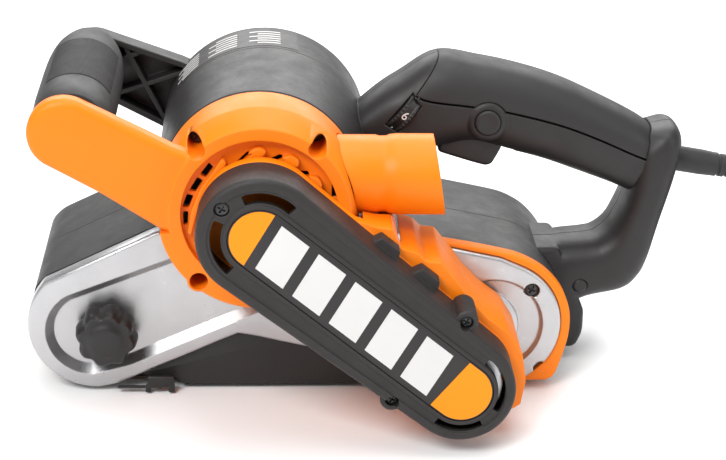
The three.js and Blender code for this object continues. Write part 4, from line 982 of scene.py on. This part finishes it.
def make_fan_housing():
    """The round orange motor end with its air slots, screw bosses and the near arm of the grip."""
    slope_start = -71.0
    rim = 38.7
    wall = 2.6
    face = HOUSING_FACE
    radius = FAN_HOUSING_RADIUS
    shell = turned(MOTOR_X, MOTOR_Z, [
        (0, face), (rim - 0.6, face), (rim, face + 0.6), (radius - 0.1, slope_start - 0.3),
        (radius, slope_start), (radius, HOUSING_BACK - 0.5), (radius - 0.5, HOUSING_BACK),
        (0, HOUSING_BACK),
    ], 144)
    inside = face + 7.4
    chamber = turned(MOTOR_X, MOTOR_Z, [
        (0, inside), (rim - wall, inside), (radius - wall, slope_start), (radius - wall, 0), (0, 0),
    ], 96)
    skirt_end = slope_start + 1
    skirt = turned(MOTOR_X, MOTOR_Z, [
        (0, face), (radius - 0.6, face), (radius, face + 0.6), (radius, skirt_end), (0, skirt_end),
    ], 144)
    skirt = common(skirt, box(-FAR, 0, face - 1, skirt_end + 1, 0, 92))
    bulge_radius = BOSS_RADIUS - 0.2
    bulge = turned(*HOUSING_BOSSES[2], [
        (0, face), (bulge_radius - 0.6, face), (bulge_radius, face + 0.6), (bulge_radius, -62), (0, -62),
    ], 48)
    arm = prism(near_arm_shape(0), face + 1.0, ARM_BACK, 3.4, 5, 1.0)
    arm_hollow = cut(
        prism(near_arm_shape(3), face + 4, FAR),
        bar(MOTOR_X, MOTOR_Z, radius, -FAR - 5, FAR + 5, 96),
    )
    cores = [bar(x, z, BOSS_RADIUS, -90, -58, 40) for x, z in HOUSING_BOSSES]
    bosses = [common(core, copy_of(shell)) for core in cores]
    seat = bar(MOTOR_X, MOTOR_Z, 14, face, -79, 64)
    recess = ring(MOTOR_X, MOTOR_Z, 33.1, 22, -FAR, face + 4.8, 128)
    holes = [bar(x, z, 3.9, -FAR, -64, 40) for x, z in HOUSING_BOSSES]
    slots = [prism(around_motor(corners, 0.5, 2), -FAR, -77) for corners in FACE_SLOTS]
    vanes = [
        prism(around_motor(corners, 1.6, 4), -85.3, -81.4, 0.5, 3, 0) for corners in FACE_VANES
    ]
    body = join(shell, skirt, bulge, arm)
    body = cut(body, chamber, arm_hollow)
    body = join(body, *bosses, seat)
    body = cut(body, recess)
    body = join(body, *vanes)
    body = cut(
        body,
        *holes,
        *slots,
        bar(MOTOR_X, MOTOR_Z, 11.3, -FAR, FAR, 64),
        along_x(OUTLET_RADIUS + GAP, 14, 70),
    )
    piece(body, "round_housing", "orange", nodes=["fan_housing"])
    for index, (x, z) in enumerate(HOUSING_BOSSES):
        screw(x, z, 3.2, -66.4, 2.2, "housing_screw_" + str(index + 1))


def make_outlet():
    wall = 2.6
    radius = OUTLET_RADIUS
    tube = along_x(0, 0, 0, 128, [
        (0, 16), (radius, 16), (radius, 33), (radius - 0.5, 34.6), (radius - 0.5, 37.4),
        (radius + 0.2, 39.2), (radius + 0.5, 42), (radius + 0.5, 70), (0, 70),
    ])
    end_cut = box(-20, 20, -30, 30, -30, 30)
    moved(spun(end_cut, -0.16, "Y"), 80.6, OUTLET_Y, OUTLET_Z)
    body = cut(
        tube,
        along_x(radius - wall, 15, 90, 96),
        end_cut,
        bar(MOTOR_X, MOTOR_Z, FAN_HOUSING_RADIUS - wall, -FAR, FAR, 96),
    )
    piece(body, "dust_spout", "orange", nodes=["dust_outlet"])


HOUSING_SHAPE = [
    (14, 104), (33, 97), (39.4, 96.3), (43, 87.8), (50.5, 85.2), (54, 81.6), (60.1, 81),
    (68.3, 70.9), (73, 64), (81, 55.6), (90.5, 48.3), (96.9, 37.5), (98.8, 25.1), (97, 14),
    (88, 8.5), (66, 8.5), (50, 14), (4, 54),
]


def make_drive_housing():
    slab_back = HOUSING_FACE - GAP
    slab = prism(drive_capsule(26.2, 22.8), COVER_RIM + GAP, slab_back, 0.8, 3, 0)
    shape = rounded_outline(HOUSING_SHAPE, 0.7, 3)
    arm = prism(shape, COVER_RIM + 1.4, HOUSING_BACK + GAP, 0.5, 2, 0.3)
    middle_x, middle_z, scale = 62, 48, 0.86
    hollow = [(middle_x + (x - middle_x) * scale, middle_z + (z - middle_z) * scale) for x, z in shape]
    body = cut(
        join(slab, arm),
        prism(hollow, -84, FAR),
        bar(MOTOR_X, MOTOR_Z, FAN_HOUSING_RADIUS + GAP + 0.3, slab_back, FAR, 96),
        along_x(OUTLET_RADIUS + 1, 0, 90, 96),
        bar(MOTOR_X, MOTOR_Z, 9, -FAR, FAR, 48),
        bar(JACK_X, JACK_Z, 11.3, -FAR, FAR, 48),
    )
    piece(body, "drive_case", "orange", nodes=["drive_housing"])


# ---- drive cover ----
COVER_UPPER = 26.4
COVER_LOWER = 23.0
COVER_EARS = [(69.9, 62.2), (39.6, 26.4)]
COVER_TABS = ((39, 54.7), (61.2, 76.6))
COVER_VENTS = [
    (0.75, 1.95, MOTOR_X, MOTOR_Z, 16, 20.4),
    (2.7, 4.0, MOTOR_X, MOTOR_Z, 16, 20.4),
    (-0.55, 0.95, JACK_X, JACK_Z, 15.4, 18.6),
    (4.05, 5.25, JACK_X, JACK_Z, 15.4, 18.6),
]


def beside_drive(along, out):
    """The point at a distance along the line from the motor to the jack shaft, and out from it."""
    ux = (JACK_X - MOTOR_X) / DRIVE_LENGTH
    uz = (JACK_Z - MOTOR_Z) / DRIVE_LENGTH
    return MOTOR_X + ux * along - uz * out, MOTOR_Z + uz * along + ux * out


def cover_tabs():
    """Clip tabs with sloping ends along both straight edges of the drive cover."""
    tabs = []
    for side in (1, -1):
        for start, end in COVER_TABS:
            corners = [(start, 22.5), (start + 3, 28.6), (end - 3, 28.6), (end, 22.5)]
            points = [beside_drive(along, side * out) for along, out in corners]
            tabs.append(prism(rounded_outline(points, 0.5), COVER_RIM - 7.4, COVER_RIM, 0.3, 2))
    return tabs


def make_cover():
    wall = 2.6
    outer = prism(drive_capsule(COVER_UPPER, COVER_LOWER, 56), COVER_FACE, COVER_RIM, 2.4, 5, 0.3)
    dish = prism(drive_capsule(COVER_UPPER - 4.6, COVER_LOWER - 4.0, 56), -FAR, COVER_FACE + 0.8)
    collar = prism(drive_capsule(15.3, 15.3, 56), COVER_FACE, COVER_FACE + 3, 0.4, 3)
    inner = prism(drive_capsule(COVER_UPPER - wall, COVER_LOWER - wall), COVER_FACE + 3.6, FAR)
    top = COVER_FACE + 3
    ear_profile = [(0, top), (4.4, top), (5, top + 0.6), (5, COVER_RIM), (0, COVER_RIM)]
    ears = [turned(x, z, ear_profile, 48) for x, z in COVER_EARS]
    body = join(cut(join(cut(outer, dish), collar), inner), *ears, *cover_tabs())
    vents = [
        prism(rounded_outline(sector(x, z, inner_r, outer_r, a, b, 16), 0.9, 3), -FAR, COVER_FACE + 6)
        for a, b, x, z, inner_r, outer_r in COVER_VENTS
    ]
    body = cut(
        body,
        *vents,
        *[bar(x, z, 2.9, -FAR, -97, 40) for x, z in COVER_EARS],
        prism(drive_capsule(13.5, 13.5), -FAR, COVER_FACE + 1.6),
        bar(*COVER_TOP_SCREW, 3.3, -FAR, FAR, 40),
    )
    piece(body, "belt_cover", "cover", nodes=["drive_cover"])
    for index, (x, z) in enumerate(COVER_EARS):
        screw(x, z, 2.6, COVER_FACE + 4.2, 3, "cover_screw_" + str(index + 1))
    screw(*COVER_TOP_SCREW, 3, COVER_FACE + 1.2, 4, "cover_screw_3")


def slanted_band(start, end, lean, half, y_from, y_to):
    """A slanted band across the label, between two distances from the motor along the drive."""
    corners = ((start, -half), (end, -half), (end, half), (start, half))
    points = [beside_drive(along + lean * out, out) for along, out in corners]
    return prism(points, y_from, y_to)


LABEL_LEAN = -0.16
LABEL_BAR = 14.5


def make_panel():
    """The label on the cover: dark film, orange ends and a row of plain slanted bars."""
    face = COVER_FACE + 0.3
    base = prism(drive_capsule(13.2, 13.2), face, face + 1, 0.2, 2)
    piece(base, "label_base", "film", nodes=["cover_panel"])
    near = face - 0.12
    far = face + 0.3
    whole = prism(drive_capsule(12.6, 12.6), near, far)
    ends = join(
        slanted_band(-30, -0.2, LABEL_LEAN, 30, near - 1, far + 1),
        slanted_band(102.8, DRIVE_LENGTH + 40, 0.0, 30, near - 1, far + 1),
    )
    piece(common(ends, whole), "label_ends", "orange_print")
    bars = [
        slanted_band(start, start + LABEL_BAR, LABEL_LEAN, 10.6, near, far)
        for start in (4.5, 24, 43.5, 63, 82.5)
    ]
    piece(merged(*bars), "label_bars", "pale")


# ---- black clamshell ----
TOP_BAR = [
    (20, 113, 22, 97, 14), (36, 127.6, 37, 98, 16.5), (47.1, 135.3, 49, 99, 18.5),
    (63.5, 145.2, 65, 102, 19), (83, 142.8, 80, 105, 19), (101.3, 138.9, 98, 100.5, 18.8),
    (119.4, 133.2, 113, 96.4, 18.4), (137.6, 125, 128, 91, 18), (156, 115.6, 143, 85.4, 17.4),
    (164, 110, 153, 81, 16),
]
REAR_STRUT = [
    (163, 112, 156, 104, 12), (172.6, 113, 155, 97, 17), (177, 106, 153.4, 86, 18.4),
    (175, 91, 151.4, 76.5, 18.8), (169.4, 68, 148.6, 69.4, 19), (164.9, 48.4, 145.2, 63.4, 19),
    (161, 39, 139.5, 58.8, 19), (153.6, 32.4, 133.9, 57.6, 19), (134.6, 27, 117.5, 55.2, 18.4),
    (119, 14, 100, 45, 17),
]
REAR_TAIL = [(108, 56), (122, 56), (133.6, 28), (135.4, 24), (135.5, 13), (132.2, 5.2), (112, 5.2)]
GROOVE = [
    (50, 133.6), (57.2, 128.6), (77.4, 125.9), (94.6, 123.2), (118.3, 117.1), (136.9, 110),
    (155.7, 101.4), (161.5, 99),
]
SKIN = 3.2


def above_groove(lowered):
    seam = [(x, z - lowered) for x, z in smooth_row(GROOVE, 5)]
    return prism(seam + [(165, 112), (165, 170), (50, 170)], -FAR, FAR)


def dial_turn():
    turn = Matrix.Rotation(math.pi / 2 - DIAL_TILT, 4, "Y") @ Matrix.Rotation(-math.pi / 2, 4, "Z")
    return Matrix.Translation(Vector(DIAL) * MM) @ turn


def dial_room():
    return turned_to(bar(0, 0, DIAL_RADIUS + 0.5, -3.5, 3.5, 72), dial_turn())


def button_collar(grow):
    near = -19.9 - grow
    return turned(BUTTON_X, BUTTON_Z, [
        (0, near), (6.6, near), (7.6 + grow, near + 0.25), (8.7 + grow, near + 0.9),
        (9.3 + grow, near + 2), (9.3 + grow, -10), (0, -10),
    ], 64)


def before_soft_top(shift):
    """The space in front of the soft top's slanted front edge."""
    x_low = 52.6 + shift
    x_high = 67.6 + shift
    return prism([(30, 110), (x_low, 128.6), (x_high, 150), (x_high, 190), (30, 190)], -FAR, FAR)


def grip_room():
    """The room for the soft top: its lower edge leaves a groove, its front edge a slanted seam."""
    around = cut(common(blended_bar(TOP_BAR, -GAP), above_groove(1.1)), before_soft_top(-0.4))
    return cut(around, blended_bar(TOP_BAR, SKIN + GAP))


def handle_body():
    tail = prism(rounded_outline(REAR_TAIL, 3), -17, 17, 2.5, 4)
    body = join(blended_bar(TOP_BAR), blended_bar(REAR_STRUT, 0, 64, 2.8), tail)
    return cut(body, grip_room())


def make_rear_grip():
    body = cut(common(blended_bar(TOP_BAR), above_groove(0)), blended_bar(TOP_BAR, SKIN))
    body = cut(body, dial_room(), button_collar(GAP), before_soft_top(0))
    piece(body, "soft_top", "rubber", nodes=["rear_grip"], angle=40)


GUARD_SHAPE = [
    (-117.4, 41), (-116.2, 48), (-111, 53.5), (-61.9, 77.5), (-50, 80), (20, 78.6), (68.7, 69.6),
    (91, 65), (101, 62.6), (111, 57), (119, 48), (123.4, 38), (123.6, 27), (120.6, 14), (117.2, 5),
    (104, 5), (92, 41),
]
GUARD_ROOM_SHAPE = [
    (-125, 20), (-116, 41), (-114, 46.6), (-109.5, 51.4), (-61.4, 75), (-50, 77.6), (20, 76.2),
    (68.2, 67.2), (90.6, 62.6), (99.8, 60.4), (109.2, 55), (116.6, 46.8), (120.6, 37.4),
    (120.8, 27.4), (117.4, 15), (112, 0), (90, 20),
]


def guard_outer():
    shape = rounded_outline(GUARD_SHAPE, 5, 5)
    return prism(shape, PLATE_BACK + GAP, GUARD_FAR, 0, 4, 2.2)


def widened(y):
    """How far the barrel has widened at a plane, from 0 at the round housing to 1."""
    return min(max((y - HOUSING_BACK) / (BARREL_WIDEST_Y - HOUSING_BACK), 0), 1)


def leaning_turned(profile, sides=144):
    """A body turned about the motor's axle that leans over as the barrel widens."""
    def lean(x, y, z):
        return x + BARREL_LEAN[0] * widened(y), y, z + BARREL_LEAN[1] * widened(y)

    return reshaped(turned(MOTOR_X, MOTOR_Z, profile, sides), lean)


def barrel_outer():
    start = HOUSING_BACK + GAP
    wide = BARREL_WIDE
    near = BARREL_NEAR
    middle = [
        (near + (wide - near) * t, start + (BARREL_WIDEST_Y - start) * t) for t in (0.25, 0.5, 0.75)
    ]
    return leaning_turned([
        (0, start), (near - 0.5, start), (near, start + 0.5), *middle, (wide, BARREL_WIDEST_Y),
        (wide, 31), (wide - 0.5, 33.2), (wide - 1.4, 35), (wide - 3, 36.8), (wide - 5, 38),
        (wide - 8, 38.7), (wide - 11, MOTOR_FAR), (0, MOTOR_FAR),
    ])


def barrel_room():
    near = BARREL_NEAR - BARREL_WALL
    wide = BARREL_WIDE - BARREL_WALL
    end = MOTOR_FAR - BARREL_WALL
    room = leaning_turned([
        (0, -60), (near, -60), (near, HOUSING_BACK), (wide, BARREL_WIDEST_Y), (wide, 31),
        (BARREL_WIDE - 11, end), (0, end),
    ], 96)
    return cut(room, box(-FAR, FAR, -FAR, FAR, -FAR, 60.8))


def belt_room():
    roof = prism(rounded_outline(GUARD_ROOM_SHAPE, 3, 3), -FAR, GUARD_FAR - 2.2)
    belt = prism(stadium(BELT_OUTER + 1.3), -FAR - 1, FAR + 1)
    return join(cut(roof, barrel_outer()), belt)


def far_arm_shape(inset):
    return arc(-92.6, 131.6, 13.6 - inset, 1.2, 3.9, 32) + [
        (-85.4, 112.7 + inset * 1.2), (-56.7, 97.5 + inset * 1.2), (-48, 95 + inset),
        (-42, 127 - inset), (-52, 131.6 - inset),
    ]


FAR_ARM_RIBS = [((-82, 146), (-58, 98)), ((-88, 114), (-44, 129)), ((-102, 124), (-66, 138))]


def far_arm():
    """The black arm at the far end of the front grip, open towards the grip and ribbed."""
    rounding = 5.0
    body = prism(far_arm_shape(0), FAR_ARM_NEAR, FAR_ARM_FAR, 0.5, 5, rounding)
    pocket = prism(far_arm_shape(2.6), -FAR, FAR_ARM_FAR - 5.5)
    ribs = []
    for (x1, z1), (x2, z2) in FAR_ARM_RIBS:
        length = math.hypot(x2 - x1, z2 - z1)
        rib = box(-length / 2, length / 2, FAR_ARM_NEAR + 1, FAR_ARM_FAR - 3, -1, 1)
        spun(rib, -math.atan2(z2 - z1, x2 - x1), "Y")
        moved(rib, (x1 + x2) / 2, 0, (z1 + z2) / 2)
        ribs.append(common(rib, copy_of(body)))
    return join(cut(body, pocket), *ribs)


def handle_openings():
    return [
        box(63.6, 99.6, -11.3, 11.3, 86, 112.6),
        bar(BUTTON_X, BUTTON_Z, 6.05, -FAR, 0, 48),
        along_cord(bar(0, 0, 6.2, -30, 30, 48), CORD_EXIT_X),
        dial_room(),
        along_x(OUTLET_RADIUS + 0.8, 10, 70, 96),
    ]


END_VENT_RINGS = ((14, 17.5, 8), (21, 24.5, 12), (28, 31.5, 16))


def end_vents():
    """Air slots in the far end of the motor's barrel: rings of short arcs, above the belt guard only."""
    slots = []
    x = MOTOR_X + BARREL_LEAN[0]
    z = MOTOR_Z + BARREL_LEAN[1]
    for inner, outer, count in END_VENT_RINGS:
        for i in range(count):
            start = 2 * math.pi * i / count
            end = start + 2 * math.pi / count * 0.68
            if z + outer * math.sin(start) < 74:
                continue
            shape = rounded_outline(sector(x, z, inner, outer, start, end, 6), 0.8, 2)
            slots.append(prism(shape, MOTOR_FAR - 4, MOTOR_FAR + 3))
    return slots


def make_shells():
    whole = join(barrel_outer(), guard_outer(), handle_body(), far_arm(), button_collar(0))
    whole = cut(whole, barrel_room(), belt_room(), *handle_openings(), *end_vents())
    near = common(copy_of(whole), box(-FAR, FAR, -FAR, -GAP / 2, -FAR, FAR))
    near = cut(near, bar(*HANDLE_CAP, 3.6, -FAR, -9, 48))
    far = common(whole, box(-FAR, FAR, GAP / 2, FAR, -FAR, FAR))
    piece(near, "near_shell", "black", nodes=["left_shell"], angle=38)
    piece(far, "far_shell", "black", nodes=["right_shell"], angle=38)


def make_handle_cap():
    """The plain cap over the handle's lower screw."""
    cap = turned(*HANDLE_CAP, [(0, -18.6), (2.6, -18.5), (3.3, -18.0), (3.3, -9), (0, -9)], 48)
    piece(cap, "handle_cap", "black")


def barrel_patch(start, end, y_from, y_to, lift, steps=40):
    """A thin film that lies on the motor's barrel between two angles and two planes."""
    rows = 8
    vertices = []
    for layer in (lift, -0.3):
        for k in range(rows + 1):
            y = y_from + (y_to - y_from) * k / rows
            part = widened(y)
            radius = BARREL_NEAR + (BARREL_WIDE - BARREL_NEAR) * part + layer
            for i in range(steps + 1):
                a = start + (end - start) * i / steps
                x = MOTOR_X + radius * math.cos(a) + BARREL_LEAN[0] * part
                z = MOTOR_Z + radius * math.sin(a) + BARREL_LEAN[1] * part
                vertices.append((x, y, z))
    wide = steps + 1
    half = wide * (rows + 1)
    faces = []
    for k in range(rows):
        for i in range(steps):
            a = k * wide + i
            faces.append((a, a + 1, a + wide + 1, a + wide))
            faces.append((half + a, half + a + wide, half + a + wide + 1, half + a + 1))
    for i in range(steps):
        faces.append((i, half + i, half + i + 1, i + 1))
        last = rows * wide + i
        faces.append((last, last + 1, half + last + 1, half + last))
    for k in range(rows):
        a = k * wide
        faces.append((a, a + wide, half + a + wide, half + a))
        b = a + steps
        faces.append((b, half + b, half + b + wide, b + wide))
    return outward(mesh_object("patch", vertices, faces))


def make_motor_label():
    """A plain pale label band with unreadable lines on the motor's barrel."""
    film = barrel_patch(1.25, 2.75, 3.0, 29.0, 0.12)
    piece(film, "motor_label", "film", angle=60)
    marks = []
    for i in range(6):
        y = 7 + i * 3.3
        for k in range(3):
            start = 1.42 + k * 0.42
            width = 0.3 if (i + k) % 2 else 0.22
            marks.append(barrel_patch(start, start + width, y, y + 1.1, 0.2, 10))
    piece(merged(*marks), "motor_label_lines", "pale", angle=60)


# ---- controls ----
TRIGGER_SHAPE = [
    (64.4, 109), (64.6, 101), (68, 99.8), (80, 96), (86.6, 94.2), (89.4, 95), (91.6, 99),
    (94, 104), (93, 108.4), (67, 111.8),
]


def make_trigger_and_button():
    blade = prism(rounded_outline(TRIGGER_SHAPE, 3.0, 5), -11, 11, 1.8, 4)
    piece(blade, "trigger_blade", "black", "trigger", ["trigger"])
    button = turned(BUTTON_X, BUTTON_Z, [
        (0, -20.9), (2, -20.95), (3.6, -21.15), (4.6, -21.35), (5.2, -21.2), (5.75, -20.6),
        (5.75, -11.6), (0, -11.6),
    ], 64)
    piece(button, "lock_pin", "black", "lock_button", ["lock_button"])


DIGIT_COUNT = 6
DIGIT_SIZE = 5.6
DIAL_RIDGES = 36


def dial_digit(index):
    """A raised figure that lies across the dial's rim, at its place round it."""
    curve = bpy.data.curves.new("digit", "FONT")
    curve.body = str((index + 2) % DIGIT_COUNT + 1)
    curve.size = DIGIT_SIZE * MM
    curve.align_x = "CENTER"
    curve.align_y = "CENTER"
    curve.extrude = 0.15 * MM
    text = link(bpy.data.objects.new("digit", curve))
    bpy.context.view_layer.update()
    graph = bpy.context.evaluated_depsgraph_get()
    mesh = bpy.data.meshes.new_from_object(text.evaluated_get(graph))
    bpy.data.objects.remove(text)
    digit = link(bpy.data.objects.new("digit", mesh))
    moved(spun(digit, math.pi / 2, "Z"), 0, 0, DIAL_RADIUS - 0.6)
    return spun(digit, 2 * math.pi * index / DIGIT_COUNT - math.pi / 2, "Y")


def make_dial():
    """The speed dial: two ridged rims and a smooth band between them for the figures."""
    ridged = []
    count = 6 * DIAL_RIDGES
    for i in range(count):
        angle = 2 * math.pi * i / count
        radius = DIAL_RADIUS - 0.35 + 0.35 * math.cos(DIAL_RIDGES * angle)
        ridged.append((radius * math.cos(angle), radius * math.sin(angle)))
    wheel = merged(
        prism(ridged, -3, -1.7, 0.25, 2),
        bar(0, 0, DIAL_RADIUS - 0.6, -2.8, 2.8, 96),
        prism(ridged, 1.7, 3, 0.25, 2),
    )
    piece(turned_to(wheel, dial_turn()), "dial_wheel", "knob", "speed_dial", ["speed_dial"])
    numbers = merged(*[dial_digit(i) for i in range(DIGIT_COUNT)])
    piece(turned_to(numbers, dial_turn()), "dial_digits", "pale", "speed_dial")


def make_front_grip():
    """The soft sleeve on the front grip, with fine ribs along its upper side."""
    near = ARM_BACK + GAP
    far = FAR_ARM_NEAR - GAP
    rows = smooth_row([
        (15.0, near), (15.4, near + 0.6), (16.6, near + 6), (17.2, -58), (17.3, -45), (17.3, -10),
        (16.4, 8), (14.8, 18), (13.4, far - 0.4), (13.0, far),
    ], 4)
    profile = [(11.9, near), *[(r, y) for r, y in rows], (11.9, far), (11.9, near)]
    sleeve = turned(GRIP_X, GRIP_Z, profile, 96)
    ribs = []
    for i in range(34):
        y = -56 + i * 1.5
        ribs.append(prism(sector(GRIP_X, GRIP_Z, 16.6, 17.65, 0.5, 2.3, 28), y, y + 0.75))
    piece(merged(sleeve, *ribs), "front_sleeve", "rubber", nodes=["front_grip"])


# ---- studio ----
def area_light(name, place, target, size, power):
    data = bpy.data.lights.new(name, "AREA")
    data.shape = "RECTANGLE"
    data.size = size[0]
    data.size_y = size[1]
    data.energy = power
    lamp = link(bpy.data.objects.new(name, data))
    lamp.location = place
    way = Vector(target) - Vector(place)
    lamp.rotation_euler = way.to_track_quat("-Z", "Y").to_euler()


def make_studio():
    half, low = 6000, -0.2
    corners = [(-half, -half, low), (half, -half, low), (half, half, low), (-half, half, low)]
    floor = mesh_object("floor", corners, [(0, 1, 2, 3)])
    material, tree, shader = new_material("floor_paper")
    pale = mixed(tree, noise(tree, 6.0), (0.86, 0.86, 0.86), (0.9, 0.9, 0.9))
    tree.links.new(pale, shader.inputs["Base Color"])
    shader.inputs["Roughness"].default_value = 0.85
    floor.data.materials.append(material)
    world = bpy.data.worlds.new("studio")
    world.use_nodes = True
    background = world.node_tree.nodes["Background"]
    background.inputs["Color"].default_value = (1, 1, 1, 1)
    background.inputs["Strength"].default_value = 0.46
    SCENE.world = world
    area_light("key", (-0.7, -1.1, 1.3), (0, 0, 0.06), (0.8, 0.6), 27)
    area_light("top", (0.2, 0.1, 1.5), (0, 0, 0.06), (1.4, 1.0), 17)
    area_light("rim", (0.1, 1.1, 0.75), (0.05, 0, 0.1), (1.6, 0.5), 14)
    area_light("side", (1.2, -0.7, 0.7), (0.05, 0, 0.07), (0.5, 0.9), 4.5)
    SCENE.view_settings.view_transform = "Standard"


def main():
    make_materials()
    dress_cad()
    dress_cord()
    make_belt()
    make_rollers()
    make_plate()
    make_plate_borders()
    make_clip()
    make_knob()
    make_fan_housing()
    make_outlet()
    make_drive_housing()
    make_cover()
    make_panel()
    make_shells()
    make_rear_grip()
    make_handle_cap()
    make_motor_label()
    make_trigger_and_button()
    make_dial()
    make_front_grip()
    make_studio()


make_camera()
CORD = make_cord()
main()
